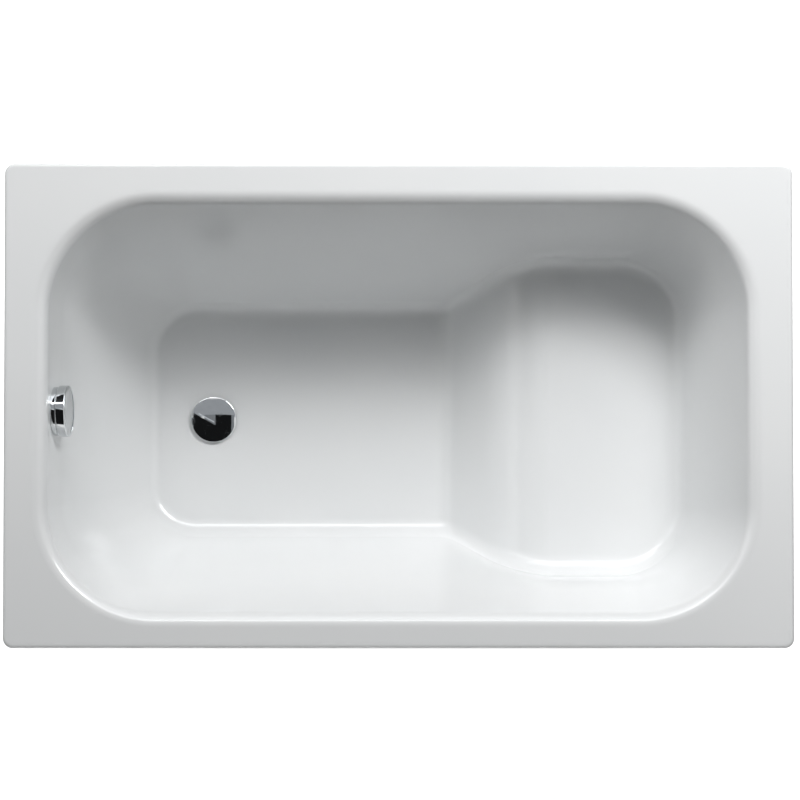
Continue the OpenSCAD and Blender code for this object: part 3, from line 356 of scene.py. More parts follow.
# Ground coat under the bath: thin grey enamel, matter than the top, with dark specks from firing
ground_coat, tree, shader = new_finish("grey_ground_enamel", Roughness=0.38)
place = add_node(tree, "TexCoord", {}, {}).outputs["Object"]
specks = add_node(tree, "TexNoise", {}, {"Vector": place, "Scale": 560.0, "Detail": 2.0})
dark = add_node(tree, "MapRange", {}, {0: specks.outputs[0], 1: 0.62, 2: 0.72})
clouds = add_node(tree, "TexNoise", {}, {"Vector": place, "Scale": 9.0, "Detail": 4.0})
grey = add_node(tree, "Mix", {"data_type": "RGBA"}, {
    0: clouds.outputs[0], 6: linear("#B9BDBF"), 7: linear("#CDD0D1")})
speckled = add_node(tree, "Mix", {"data_type": "RGBA"}, {
    0: dark.outputs[0], 6: grey.outputs[2], 7: linear("#747A7E")})
relief = add_node(tree, "Bump", {}, {"Height": specks.outputs[0], "Strength": 0.25, "Distance": 0.0002})
wire(tree, shader, {"Base Color": speckled.outputs[2], "Normal": relief.outputs[0]})

ribs = shell_ribs()
shell = bmesh.new()
bmesh.ops.create_circle(shell, segments=len(ribs), radius=1)
shell.verts.ensure_lookup_table()
ring = list(shell.verts)
for vert, rib in zip(ring, ribs):
    vert.co = rib[0]
for row in range(1, len(ribs[0])):
    loop = [shell.edges.get((ring[i - 1], ring[i])) for i in range(len(ring))]
    pulled = bmesh.ops.extrude_edge_only(shell, edges=loop)["geom"]
    above = {tuple(v.co): v for v in pulled if isinstance(v, bmesh.types.BMVert)}
    ring = [above[tuple(v.co)] for v in ring]
    for vert, rib in zip(ring, ribs):
        vert.co = rib[row]
bmesh.ops.remove_doubles(shell, verts=shell.verts, dist=0.01)
bmesh.ops.recalc_face_normals(shell, faces=shell.faces)
top_face = max(shell.faces, key=lambda f: f.calc_area())
if top_face.normal.z < 0:
    bmesh.ops.reverse_faces(shell, faces=shell.faces)
upper = set(shell.faces)
bmesh.ops.solidify(shell, geom=shell.faces[:], thickness=SHEET)
for face in shell.faces:
    face.material_index = 0 if face in upper else 1

FLOOR_Z = RIM_Z - DEEP_D
DRAIN_X = -295
DRAIN_HOLE_R = 26
OVERFLOW_AT = Vector((-519.555, WELL_Y, 495))
at_overflow = Matrix.Translation(OVERFLOW_AT) @ Matrix.Rotation(math.pi / 2 - DRAIN_SLOPE, 4, "Y")


def at(x, y, z):
    return Matrix.Translation((x, y, z))


def at_drain(height):
    return at(DRAIN_X, WELL_Y, height)


def cylinder(place, radius, length=30, segments=96):
    """A cylinder along the place's Z axis with its middle there, as a drill or a blank."""
    shape = bmesh.new()
    bmesh.ops.create_cone(shape, cap_ends=True, segments=segments, radius1=radius, radius2=radius,
                          depth=length, matrix=place)
    return shape


for place in (at_drain(FLOOR_Z), at_overflow):
    shell = cut_with(shell, cylinder(place, DRAIN_HOLE_R))
add_piece("bath_shell", shell, [enamel, ground_coat], "tub", ["tub_shell"], sharp=30)


# Plug
# A domed brass cap on a stem, chromed. It lies over the strainer and rises when the knob is turned.
CAP_Z = 185.8
CAP_R, CAP_H, CAP_EDGE_H = 36, 7, 2.6


def arc(centre, radius, start, end, steps):
    """Points of an arc in an outline. Angles are in degrees, from the radius axis towards Z."""
    angles = [math.radians(start + (end - start) * i / steps) for i in range(steps + 1)]
    return [(centre[0] + radius * math.cos(a), centre[1] + radius * math.sin(a)) for a in angles]


def placed(shape, place):
    """Moves and turns a bmesh."""
    bmesh.ops.transform(shape, matrix=place, verts=shape.verts)
    return shape


def spun(outline, place=Matrix(), steps=72):
    """An outline of (radius, height) points turned once round Z. It is closed if it is off the axis."""
    shape = bmesh.new()
    corners = [shape.verts.new((r, 0, z)) for r, z in outline]
    pairs = list(zip(corners, corners[1:]))
    if outline[0][0] > 0:
        pairs.append((corners[-1], corners[0]))
    sides = [shape.edges.new(pair) for pair in pairs]
    bmesh.ops.spin(shape, geom=corners + sides, axis=(0, 0, 1), cent=(0, 0, 0), angle=2 * math.pi,
                   steps=steps, use_merge=True)
    bmesh.ops.remove_doubles(shape, verts=shape.verts, dist=0.001)
    bmesh.ops.recalc_face_normals(shape, faces=shape.faces)
    return placed(shape, place)


# Bright chrome plating: a mirror, dulled a little by dried water marks and fine wiping scratches
chrome, tree, shader, place, marks = toned_finish("bright_chrome_plating", 90.0, 4.0, "#CDD0D2", "#DADCDD",
                                                  Metallic=1.0)
dulled = add_node(tree, "MapRange", {}, {0: marks, 1: 0.50, 2: 0.75, 3: 0.035, 4: 0.13})
wire(tree, shader, {"Roughness": dulled.outputs[0]})
stretched = add_node(tree, "Mapping", {}, {"Vector": place, "Scale": (30.0, 900.0, 900.0)})
add_grain(tree, shader, stretched.outputs[0], 2.0, 1.0, 0.03, 0.0001)

dome_h = CAP_H - CAP_EDGE_H
dome_edge_r = CAP_R - 0.7
dome_r = (dome_edge_r ** 2 + dome_h ** 2) / (2 * dome_h)
dome_turn = math.degrees(math.asin(dome_edge_r / dome_r))
cap = spun([(0, CAP_H)] + arc((0, CAP_H - dome_r), dome_r, 89.5, 90.5 - dome_turn, 15)
           + arc((0, CAP_H - dome_r), dome_r, 90.15 - dome_turn, 90 - dome_turn, 1)
           + arc((CAP_R - 0.5, CAP_EDGE_H - 0.6), 0.5, 70, 0, 4)
           + arc((CAP_R - 0.4, 0.4), 0.4, 0, -90, 3) + [(CAP_R - 1.6, 0), (CAP_R - 1.6, 1.4), (0, 1.4)],
           at_drain(CAP_Z), steps=128)
add_piece("plug_dome", cap, [chrome], "plug", ["plug_cap"])


# Turn knob and its ring
# A chromed hollow knob on the drain end wall, and the chromed ring behind it that lets water in.
KNOB_Z, KNOB_R, KNOB_T, KNOB_WALL = 8.6, 39, 14, 2.5
RING_R, RING_T, RING_WALL, RING_BASE_T = 37, 8, 3, 1.6
SPINDLE_R = 4
SLOT_W = 9


def bevelled(shape, edges, offset, segments):
    """Rounds some edges of a bmesh."""
    bmesh.ops.bevel(shape, geom=edges, offset=offset, segments=segments, profile=0.5, affect="EDGES",
                    material=-1)
    return shape


knob = spun([(0, KNOB_T - 0.6), (20, KNOB_T - 0.5), (KNOB_R - 5.5, KNOB_T - 0.25)]
            + arc((KNOB_R - 4.6, KNOB_T - 0.7), 0.7, 110, 60, 4)
            + arc((KNOB_R - 1.6, KNOB_T - 1.6), 1.6, 90, 0, 7)
            + [(KNOB_R, 4), (KNOB_R, 1.4)] + arc((KNOB_R - 0.8, 0.8), 0.8, 0, -90, 4)
            + [(KNOB_R - KNOB_WALL, 0), (KNOB_R - KNOB_WALL, KNOB_T - KNOB_WALL),
               (SPINDLE_R + 4, KNOB_T - KNOB_WALL), (SPINDLE_R + 4, 0), (SPINDLE_R, 0),
               (SPINDLE_R, KNOB_T - KNOB_WALL - 1), (0, KNOB_T - KNOB_WALL - 1)],
            at_overflow @ at(0, 0, KNOB_Z), steps=128)
add_piece("overflow_knob", knob, [chrome], "knob", ["turn_knob"])

ring = spun([(DRAIN_HOLE_R + 0.3, 0), (DRAIN_HOLE_R + 0.3, RING_BASE_T),
             (RING_R - RING_WALL - 1, RING_BASE_T)]
            + arc((RING_R - RING_WALL - 1, RING_BASE_T + 1), 1, -90, 0, 4)
            + [(RING_R - RING_WALL, RING_T - 0.5), (RING_R - RING_WALL + 0.5, RING_T)]
            + arc((RING_R - 1, RING_T - 1), 1, 90, 0, 5) + [(RING_R, 0.4), (RING_R - 0.4, 0)],
            steps=128)
slot_h = RING_T - 2 * RING_BASE_T - 1
for angle in (-50, -25, 0, 25, 50):
    slot = bmesh.new()
    bmesh.ops.create_cube(slot, size=1, matrix=Matrix.Rotation(math.radians(angle), 4, "Z")
                          @ at(RING_R - RING_WALL / 2, 0, RING_BASE_T + 1 + slot_h / 2)
                          @ Matrix.Diagonal((RING_WALL + 4, SLOT_W, slot_h, 1)))
    across = [e for e in slot.edges if abs(e.calc_length() - slot_h) > 1 and e.calc_length() < SLOT_W - 1]
    ring = cut_with(ring, bevelled(slot, across, slot_h * 0.45, 4))
add_piece("overflow_ring", placed(ring, at_overflow), [chrome], "tub", ["knob_ring"])


# Strainer
# The chromed brass outlet in the floor: a dished flange, a threaded neck that screws down through the
# hole and a cross that guides the plug's stem. A thin rubber ring beds it on the enamel.
STRAINER_Z = 183
STRAINER_R, STRAINER_T = 34, 2.5
NECK_R, THROAT_R, NECK_L = 24.8, 22.4, 27
GUIDE_R, GUIDE_T = 8, 8
SPOKE_W = 4
STEM_R = 4
WASTE_TOP_Z, DRAIN_SEAL_R = 176, 41


def gathered(*shapes):
    """Puts bmeshes together in one and uses them up."""
    whole = bmesh.new()
    for shape in shapes:
        mesh = bpy.data.meshes.new("part")
        shape.to_mesh(mesh)
        shape.free()
        whole.from_mesh(mesh)
        bpy.data.meshes.remove(mesh)
    return whole


def repeated(shape, places):
    """Copies a bmesh to each place and uses it up."""
    copies = [placed(shape.copy(), place) for place in places]
    shape.free()
    return gathered(*copies)


def turns(count, first=0):
    """Even turns about Z, the first of them by so many degrees."""
    return [Matrix.Rotation(math.radians(first + 360 * i / count), 4, "Z") for i in range(count)]


def block(low, high, rounding, segments=2, edges=None):
    """A box between two corners with its edges rounded, or only those that run along the given axes."""
    shape = bmesh.new()
    size = Vector(high) - Vector(low)
    bmesh.ops.create_cube(shape, size=1, matrix=Matrix.Translation((Vector(low) + Vector(high)) / 2)
                          @ Matrix.Diagonal((*size, 1)))
    chosen = shape.edges[:]
    if edges:
        chosen = [e for e in shape.edges
                  if "xyz"[max(range(3), key=lambda k: abs((e.verts[0].co - e.verts[1].co)[k]))] in edges]
    return bevelled(shape, chosen, rounding, segments)


def thread(radius, pitch, depth, low, high, place=Matrix(), steps=48):
    """A round-topped helical ridge on a cylinder of the given radius: one turn, stacked and joined."""
    turn = bmesh.new()
    ridge = [(radius - 0.4, -0.42 * pitch), (radius + 0.7 * depth, -0.2 * pitch), (radius + depth, 0),
             (radius + 0.7 * depth, 0.2 * pitch), (radius - 0.4, 0.42 * pitch)]
    corners = [turn.verts.new((r, 0, low + z)) for r, z in ridge]
    sides = [turn.edges.new(pair) for pair in zip(corners, corners[1:] + corners[:1])]
    bmesh.ops.spin(turn, geom=corners + sides, axis=(0, 0, 1), cent=(0, 0, 0), angle=2 * math.pi,
                   steps=steps, dvec=(0, 0, pitch / steps), use_merge=False)
    count = round((high - low) / pitch)
    shape = repeated(turn, [at(0, 0, pitch * i) for i in range(count)])
    bmesh.ops.remove_doubles(shape, verts=shape.verts, dist=0.005)
    ends = [e for e in shape.edges if e.is_boundary]
    bmesh.ops.edgeloop_fill(shape, edges=ends)
    bmesh.ops.recalc_face_normals(shape, faces=shape.faces)
    return placed(shape, place)


# Moulded black rubber: matt, faintly mottled, with a dusty bloom on it
rubber, tree, shader, place, _ = toned_finish("moulded_black_rubber", 45.0, 5.0, "#1B1B1C", "#343536",
                                              Roughness=0.72)
add_grain(tree, shader, place, 1400.0, 2.0, 0.3, 0.0002)

neck = spun([(THROAT_R, -NECK_L), (THROAT_R, 0.9)] + arc((THROAT_R + 1.2, 0.9), 1.2, 180, 100, 5)
            + [(STRAINER_R - 2, STRAINER_T - 0.15)] + arc((STRAINER_R - 1, STRAINER_T - 1), 1, 75, 0, 5)
            + [(STRAINER_R, 0.3), (STRAINER_R - 0.3, 0), (NECK_R - 0.7, 0), (NECK_R - 0.7, -NECK_L + 0.5),
               (NECK_R - 1.2, -NECK_L)], at_drain(STRAINER_Z), steps=96)
neck_thread = thread(NECK_R - 0.7, 2, 0.7, -NECK_L + 1.5, -1.5, at_drain(STRAINER_Z))
hub = spun([(STEM_R + 0.05, 0.4), (STEM_R + 0.45, 0), (GUIDE_R - 0.8, 0), (GUIDE_R, 0.8),
            (GUIDE_R, GUIDE_T - 0.8), (GUIDE_R - 0.8, GUIDE_T), (STEM_R + 0.45, GUIDE_T),
            (STEM_R + 0.05, GUIDE_T - 0.4)],
           at_drain(STRAINER_Z - NECK_L), steps=48)
spoke = block((GUIDE_R - 1.5, -SPOKE_W / 2, 0), (THROAT_R + 0.6, SPOKE_W / 2, GUIDE_T - 2), 0.8,
              segments=3, edges="x")
spokes = repeated(spoke, [at_drain(STRAINER_Z - NECK_L) @ turn for turn in turns(4)])
add_piece("strainer_body", gathered(neck, neck_thread, hub, spokes), [chrome], "tub", ["strainer"])


def rubber_ring(inner, outer, low, high, place, rounding=0.4):
    """A flat rubber ring whose edges are rounded where it is squeezed."""
    return spun(arc((inner + rounding, low + rounding), rounding, 270, 180, 3)
                + arc((inner + rounding, high - rounding), rounding, 180, 90, 3)
                + arc((outer - rounding, high - rounding), rounding, 90, 0, 3)
                + arc((outer - rounding, low + rounding), rounding, 0, -90, 3), place)


def add_rubber(name, shape, node, body="tub"):
    add_piece(name, shape, [rubber], body, [node])


add_rubber("strainer_bedding_ring", rubber_ring(DRAIN_HOLE_R + 1, STRAINER_R - 1, 0, 1, at_drain(FLOOR_Z)),
           "strainer_gasket")
add_rubber("drain_ring_seal",
           rubber_ring(DRAIN_HOLE_R + 1, DRAIN_SEAL_R, WASTE_TOP_Z, FLOOR_Z - SHEET, at_drain(0), 1),
           "drain_gasket")


# Plug stem
# A turned stainless stem screwed into the cap. Its shoulder holds the rubber ring that shuts the
# throat, and its end carries an adjusting screw that the lift lever pushes.
STEM_END_Z, SHOULDER_Z, STEM_HEAD_R, SHOULDER_R = 143, 182.3, 17, 13
SEAL_R, SEAL_T = 22.1, 3

# Turned stainless steel: a satin metal with fine rings from the lathe
stainless, tree, shader, place, _ = toned_finish("turned_stainless_steel", 70.0, 3.0, "#A9ABAB", "#C6C7C6",
                                                 Metallic=1.0, Roughness=0.26)
squeezed = add_node(tree, "Mapping", {}, {"Vector": place, "Scale": (60.0, 60.0, 2600.0)})
add_grain(tree, shader, squeezed.outputs[0], 1.0, 2.0, 0.25, 0.0001)

stem = spun([(0, STEM_END_Z)] + arc((0, STEM_END_Z + STEM_R - 1), STEM_R - 1, -80, -10, 5)
            + [(STEM_R - 0.8, STEM_END_Z + 16), (STEM_R, STEM_END_Z + 17), (STEM_R, SHOULDER_Z - 6),
               (STEM_R + 1.5, SHOULDER_Z - 3), (STEM_HEAD_R - 0.6, SHOULDER_Z - 2),
               (STEM_HEAD_R, SHOULDER_Z - 1.4), (STEM_HEAD_R, SHOULDER_Z - 0.5),
               (STEM_HEAD_R - 0.5, SHOULDER_Z), (SHOULDER_R, SHOULDER_Z), (SHOULDER_R, CAP_Z + 1.3),
               (0, CAP_Z + 1.3)], at_drain(0), steps=64)
adjuster = thread(STEM_R - 0.8, 1.25, 0.7, STEM_END_Z + 2.5, STEM_END_Z + 15, at_drain(0), 32)
add_piece("plug_stem_turned", gathered(stem, adjuster), [stainless], "plug", ["plug_stem"])

seal = spun([(SHOULDER_R + 0.05, 0), (SEAL_R - 1.4, 0)] + arc((SEAL_R - 1.2, SEAL_T / 2), 1.2, -60, 60, 8)
            + [(SEAL_R - 1.4, SEAL_T), (SHOULDER_R + 0.05, SEAL_T)], at_drain(SHOULDER_Z), steps=96)
add_rubber("plug_ring_seal", seal, "plug_seal", "plug")


# Waste body
# The moulded outlet clamped under the floor: a ribbed flange, a cup in which the lever works, a
# spigot for the overflow hose, a boss for the control cable and a threaded tail for the trap.
WASTE_FLANGE_R, WASTE_FLANGE_T = 42, 5
CUP_R, CUP_BOTTOM_Z = 34, 125
TAIL_R, TAIL_END_Z = 23.9, 107
WALL = 3
INLET_Z = 150
SPIGOT_R, SPIGOT_BORE_R, SPIGOT_L = 16, 11.5, 24
CABLE_OFF, BOSS_R, BOSS_L = 30, 6, 8
GRIP = 8
LEVER_Z, LEVER_ARM = 139.7, 20
PIN_BOSS_FROM, PIN_BOSS_END = 25, 30

# Injection-moulded polypropylene: pale grey, half matt, slightly cloudy, with a fine spark texture
moulding, tree, shader, place, _ = toned_finish("moulded_polypropylene", 26.0, 4.0, "#D3D4D1", "#E2E2DF",
                                                Roughness=0.42, IOR=1.49, Subsurface_Weight=0.08,
                                                Subsurface_Scale=0.003)
add_grain(tree, shader, place, 1600.0, 1.0, 0.18, 0.0001)


def add_moulding(name, shape, node):
    add_piece(name, shape, [moulding], "tub", [node])


def along_hose(x, y, z):
    """A place whose Z axis points back along the level end of the hose."""
    return at(x, y, z) @ Matrix.Rotation(-math.pi / 2, 4, "Y")


def tube(outer, inner, low, high, place=Matrix(), edge=0.5, steps=64):
    """A tube along Z with its outer edges broken, or a pin if it has no bore."""
    return spun([(inner, low), (outer - edge, low), (outer, low + edge), (outer, high - edge),
                 (outer - edge, high), (inner, high)], place, steps)


def sliced(shape, point, normal):
    """Takes off what lies beyond a plane and closes the cut."""
    bmesh.ops.bisect_plane(shape, geom=shape.verts[:] + shape.edges[:] + shape.faces[:], clear_outer=True,
                           plane_co=point, plane_no=normal)
    bmesh.ops.holes_fill(shape, edges=[e for e in shape.edges if e.is_boundary], sides=0)
    return shape


cup_top_z = WASTE_TOP_Z - WASTE_FLANGE_T
cup = spun([(NECK_R + 0.3, WASTE_TOP_Z), (NECK_R + 0.3, cup_top_z - WALL), (CUP_R - WALL, cup_top_z - WALL),
            (CUP_R - WALL, CUP_BOTTOM_Z + WALL + 6), (TAIL_R - WALL, CUP_BOTTOM_Z + WALL),
            (TAIL_R - WALL, TAIL_END_Z), (TAIL_R - 1.2, TAIL_END_Z), (TAIL_R - 0.6, TAIL_END_Z + 0.6),
            (TAIL_R - 0.6, CUP_BOTTOM_Z - 1.5)]
           + arc((TAIL_R + 1.4, CUP_BOTTOM_Z - 2), 2, 180, 90, 4)
           + arc((CUP_R - 5, CUP_BOTTOM_Z + 5), 5, -90, 0, 8)
           + [(CUP_R, cup_top_z - 3)] + arc((CUP_R + 3, cup_top_z - 3), 3, 180, 90, 5)
           + arc((WASTE_FLANGE_R - 1, cup_top_z + 1), 1, -90, 0, 3)
           + arc((WASTE_FLANGE_R - 1, WASTE_TOP_Z - 1), 1, 0, 90, 3), at_drain(0), steps=96)
tail_thread = thread(TAIL_R - 0.6, 3, 0.6, TAIL_END_Z + 2.5, CUP_BOTTOM_Z - 4, at_drain(0))
gusset = block((CUP_R - 0.5, -1, cup_top_z - 12), (WASTE_FLANGE_R - 2, 1, cup_top_z + 0.5), 0.4)
gussets = repeated(sliced(gusset, (CUP_R, 0, cup_top_z - 11), (1.4, 0, -1)),
                   [at_drain(0) @ turn for turn in turns(8, 22.5)])
at_inlet = along_hose(DRAIN_X, WELL_Y, INLET_Z)
spigot = tube(SPIGOT_R - 0.5, SPIGOT_BORE_R, CUP_R - 1, CUP_R + SPIGOT_L, at_inlet)
spigot_thread = thread(SPIGOT_R - 0.5, 3, 0.5, CUP_R + 9, CUP_R + SPIGOT_L - 2, at_inlet)
boss = tube(BOSS_R, 1.6, 4, CUP_R + BOSS_L, along_hose(DRAIN_X, WELL_Y - CABLE_OFF, INLET_Z), 0.8, 32)
web = block((DRAIN_X - CUP_R, WELL_Y - CABLE_OFF, INLET_Z - BOSS_R),
            (DRAIN_X - CUP_R + 3, WELL_Y, INLET_Z + BOSS_R), 0.8)
pin_boss = spun([(0, PIN_BOSS_FROM), (5.5, PIN_BOSS_FROM), (4.6, PIN_BOSS_END - 0.6), (4, PIN_BOSS_END),
                 (2.4, PIN_BOSS_END), (2, PIN_BOSS_END - 0.4), (0, PIN_BOSS_END - 0.6)], steps=32)
pin_bosses = repeated(pin_boss, [at(DRAIN_X + LEVER_ARM, WELL_Y, LEVER_Z)
                                 @ Matrix.Rotation(side * math.pi / 2, 4, "X") for side in (-1, 1)])
add_moulding("waste_body_moulded",
             gathered(cup, tail_thread, gussets, spigot, spigot_thread, boss, web, pin_bosses), "waste_body")


# Lift lever
# A small moulded acetal lever in the waste body's cup. The cable pushes it, and its nose lifts the
# plug's stem. It turns on a plain steel pin.
LEVER_W, PIN_R, NOSE_R = 8, 2, 3

# Moulded acetal: ivory, waxy and smooth, a little translucent
acetal = toned_finish("moulded_ivory_acetal", 110.0, 3.0, "#E0D9C4", "#ECE7D6",
                      Roughness=0.33, IOR=1.48, Subsurface_Weight=0.15, Subsurface_Scale=0.002)[0]

at_pin = (at(DRAIN_X + LEVER_ARM, WELL_Y, LEVER_Z)
          @ Matrix.Rotation(math.pi / 2, 4, "X"))
half = LEVER_W / 2
lever_hub = tube(PIN_R + 2.5, PIN_R + 0.05, -half, half, at_pin, 0.5, 32)
nose = tube(NOSE_R, 0, -half, half, at_pin @ at(-LEVER_ARM, 0, 0), 0.6, 32)
arm = placed(block((-LEVER_ARM, -2, -half + 0.5), (-PIN_R, 2, half - 0.5), 0.6, edges="x"), at_pin)
add_piece("lift_lever_moulded", gathered(lever_hub, nose, arm), [acetal], "lever",
          ["lift_lever"])


def dress(finish, *nodes):
    """Gives CAD nodes whose shape is right their finish."""
    for node in nodes:
        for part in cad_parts[node].material_slots:
            part.material = finish


dress(stainless, "lever_pin", "knob_spindle")


# Overflow body
# The moulded cup behind the end wall: a flange that is drawn against its rubber ring, a spigot that
# leads the water down into the hose, and a boss for the control cable's sleeve.
OVERFLOW_BACK, OVERFLOW_CUP_R, OVERFLOW_CUP_H = -6, 31, 30
OVERFLOW_FLANGE_R, OVERFLOW_FLANGE_T = 40, 4
HOSE_X, HOSE_TOP_Z = -541.391, 439.7
DOWN_SPIGOT_TOP_Z, DOWN_THREAD_TOP_Z, CABLE_TOP_Z = 470, 457, 458

cup_end = OVERFLOW_BACK - OVERFLOW_CUP_H
flange_end = OVERFLOW_BACK - OVERFLOW_FLANGE_T
catcher = spun([(0, cup_end)] + arc((OVERFLOW_CUP_R - 3, cup_end + 3), 3, -90, 0, 6)
               + [(OVERFLOW_CUP_R, flange_end - 2)] + arc((OVERFLOW_CUP_R + 2, flange_end - 2), 2, 180, 90, 4)
               + arc((OVERFLOW_FLANGE_R - 1, flange_end + 1), 1, -90, 0, 3)
               + arc((OVERFLOW_FLANGE_R - 0.6, OVERFLOW_BACK - 0.6), 0.6, 0, 90, 3)
               + [(OVERFLOW_CUP_R - WALL, OVERFLOW_BACK), (OVERFLOW_CUP_R - WALL, cup_end + WALL),
                  (0, cup_end + WALL)],
               at_overflow, steps=96)
at_hose = at(HOSE_X, WELL_Y, 0)
down_spigot = tube(SPIGOT_R - 0.5, SPIGOT_BORE_R, HOSE_TOP_Z + 0.3, DOWN_SPIGOT_TOP_Z, at_hose)
down_thread = thread(SPIGOT_R - 0.5, 3, 0.5, HOSE_TOP_Z + 2.5, DOWN_THREAD_TOP_Z, at_hose)
cable_boss = tube(BOSS_R, 1.6, CABLE_TOP_Z, OVERFLOW_AT.z,
                  at(HOSE_X, WELL_Y - CABLE_OFF, 0), 0.8, 32)
fin = block((-1, -OVERFLOW_CUP_R - 4, cup_end + 4), (1, -OVERFLOW_CUP_R + 0.6, flange_end), 0.4)
fins = repeated(fin, [at_overflow @ Matrix.Rotation(math.radians(angle), 4, "Z")
                      for angle in (60, 120, 180, 240)])
add_moulding("overflow_body_moulded", gathered(catcher, down_spigot, down_thread, cable_boss, fins),
             "overflow_body")
overflow_seal = rubber_ring(DRAIN_HOLE_R + 1, OVERFLOW_FLANGE_R - 2, OVERFLOW_BACK, -SHEET, at_overflow, 0.9)
add_rubber("overflow_ring_seal", overflow_seal, "overflow_gasket")


# Overflow bush and clamp screws
# A moulded spoked bush in the wall's hole carries the spindle and leaves water ways between its spokes.
# Two zinc-plated screws through it draw the overflow body and the chromed ring together.
SCREW_OFF, SCREW_R, SCREW_HEAD_Z, CLAMP_NUT_H = 17, 2.5, 2, 3.7
BUSH_R, LIP_Z, LIP_TOP = 25.5, 1.9, 3.1

# Bright zinc plating: a cool half-gloss metal with a faint blue and straw bloom from the passivation
zinc_plate, tree, shader, _, patches = toned_finish("bright_zinc_plating", 55.0, 3.0, "#A3ABB6", "#BDB8A6",
                                                    Metallic=1.0)
uneven = add_node(tree, "MapRange", {}, {0: patches, 3: 0.22, 4: 0.42})
wire(tree, shader, {"Roughness": uneven.outputs[0]})

bush_rim = spun([(BUSH_R - 3, -3), (BUSH_R, -3), (BUSH_R, LIP_Z), (BUSH_R + 3, LIP_Z),
                 (BUSH_R + 3, LIP_TOP - 0.5), (BUSH_R + 2.5, LIP_TOP), (BUSH_R - 2.5, LIP_TOP),
                 (BUSH_R - 3, LIP_TOP - 0.5)], steps=96)
bush_hub = tube(SPINDLE_R + 4, SPINDLE_R + 0.05, -6, LIP_TOP, edge=0.6, steps=48)
bush_spoke = cut_with(block((SPINDLE_R + 3, -4, -3), (BUSH_R - 1, 4, 2), 0.5),
                      cylinder(at(SCREW_OFF, 0, 0), SCREW_R + 0.3, 20, 32))
bush_spokes = repeated(bush_spoke, [Matrix.Rotation(side * math.pi / 2, 4, "Z") for side in (-1, 1)])
add_moulding("overflow_spindle_bush", placed(gathered(bush_rim, bush_hub, bush_spokes), at_overflow),
             "overflow_bush")


def hexagon_nut(across_r, bore_r, low, high):
    """A nut along Z with its corners turned off at both faces by a cone of 30 degrees."""
    blank = cylinder(at(0, 0, (low + high) / 2) @ Matrix.Rotation(math.pi / 6, 4, "Z"),
                     across_r, high - low + 2, 6)
    flat = across_r * math.cos(math.pi / 6)
    wide = across_r + 1
    drop = (wide - flat) * math.tan(math.radians(30))
    turned = spun([(bore_r + 0.6, low), (flat, low), (wide, low + drop), (wide, high - drop), (flat, high),
                   (bore_r + 0.6, high), (bore_r, high - 0.6), (bore_r, low + 0.6)], steps=48)
    nut = cut_with(blank, turned, "INTERSECT")
    bmesh.ops.remove_doubles(nut, verts=nut.verts, dist=0.002)
    return nut


nut_z = cup_end - 4
shank = spun([(0, nut_z), (SCREW_R - 0.4, nut_z), (SCREW_R - 0.4, SCREW_HEAD_Z), (0, SCREW_HEAD_Z)], steps=24)
shank_thread = thread(SCREW_R - 0.4, 0.8, 0.4, nut_z + 0.5, nut_z + 14, steps=24)
head = spun([(0, SCREW_HEAD_Z), (3.7, SCREW_HEAD_Z), (4, SCREW_HEAD_Z + 0.4)]
            + arc((2, SCREW_HEAD_Z + 0.4), 2, 0, 90, 6) + [(0, SCREW_HEAD_Z + 2.4)], steps=36)
for turn in (45, 135):
    cross = block((-2.2, -0.45, SCREW_HEAD_Z + 1.2), (2.2, 0.45, SCREW_HEAD_Z + 4), 0.1)
    head = cut_with(head, placed(cross, Matrix.Rotation(math.radians(turn), 4, "Z")))
nut = hexagon_nut(5, SCREW_R - 0.4, nut_z, nut_z + CLAMP_NUT_H)
clamp = repeated(gathered(shank, shank_thread, head, nut),
                 [at_overflow @ at(0, side * SCREW_OFF, 0) for side in (-1, 1)])
add_piece("overflow_clamp_screws", clamp, [zinc_plate], "tub", ["clamp_screws"])


# Cable crank
# A moulded acetal arm on the spindle's inner end. Turning the knob swings it, and it pulls the cable.
crank_hub = tube(7, SPINDLE_R + 0.05, 0, 4, edge=0.6, steps=40)
crank_arm = block((5, -2.5, 0), (9.5, 2.5, 4), 0.4)
crank_eye = tube(2.5, 0, 0, 4, at(9.5, 0, 0), 0.5, 32)
crank = placed(gathered(crank_hub, crank_arm, crank_eye),
               at_overflow @ at(0, 0, cup_end + WALL + 5))
add_piece("cable_crank_moulded", crank, [acetal], "knob", ["cable_crank"])


# Overflow hose
# A blow-moulded ribbed hose with plain cuffs. It drops behind the end wall, bends once and runs level
# into the waste body's spigot, held at both ends by a grip nut.
HOSE_BEND_R, HOSE_DROP, HOSE_L = 85, 204.7, 441.309
CUFF_R, BORE_R, CUFF_L, RIB_PITCH = 15, 13, 34, 7.5


def route_at(distance, off):
    """The place along the hose's route, with its Z axis along the route, and off to the bather's side."""
    bend = HOSE_BEND_R * math.pi / 2
    if distance < HOSE_DROP:
        turned, x, z = 0, HOSE_X, HOSE_TOP_Z - distance
    elif distance < HOSE_DROP + bend:
        turned = (distance - HOSE_DROP) / HOSE_BEND_R
        x = HOSE_X + HOSE_BEND_R * (1 - math.cos(turned))
        z = HOSE_TOP_Z - HOSE_DROP - HOSE_BEND_R * math.sin(turned)
    else:
        turned = math.pi / 2
        x, z = HOSE_X + HOSE_BEND_R + distance - HOSE_DROP - bend, INLET_Z
    return at(x, WELL_Y - off, z) @ Matrix.Rotation(math.pi - turned, 4, "Y")


def bent(shape, off):
    """Bends a bmesh that is drawn straight along Z to the hose's route."""
    for vert in shape.verts:
        vert.co = route_at(vert.co.z, off) @ Vector((vert.co.x, vert.co.y, 0))
    return shape


# Blow-moulded polyethylene: pale grey, softer and duller than the fittings, with a flow streak or two
hose_skin = toned_finish("blow_moulded_polyethylene", 38.0, 5.0, "#C3C6C6", "#D6D8D6",
                         Roughness=0.5, IOR=1.5, Subsurface_Weight=0.1, Subsurface_Scale=0.004)[0]

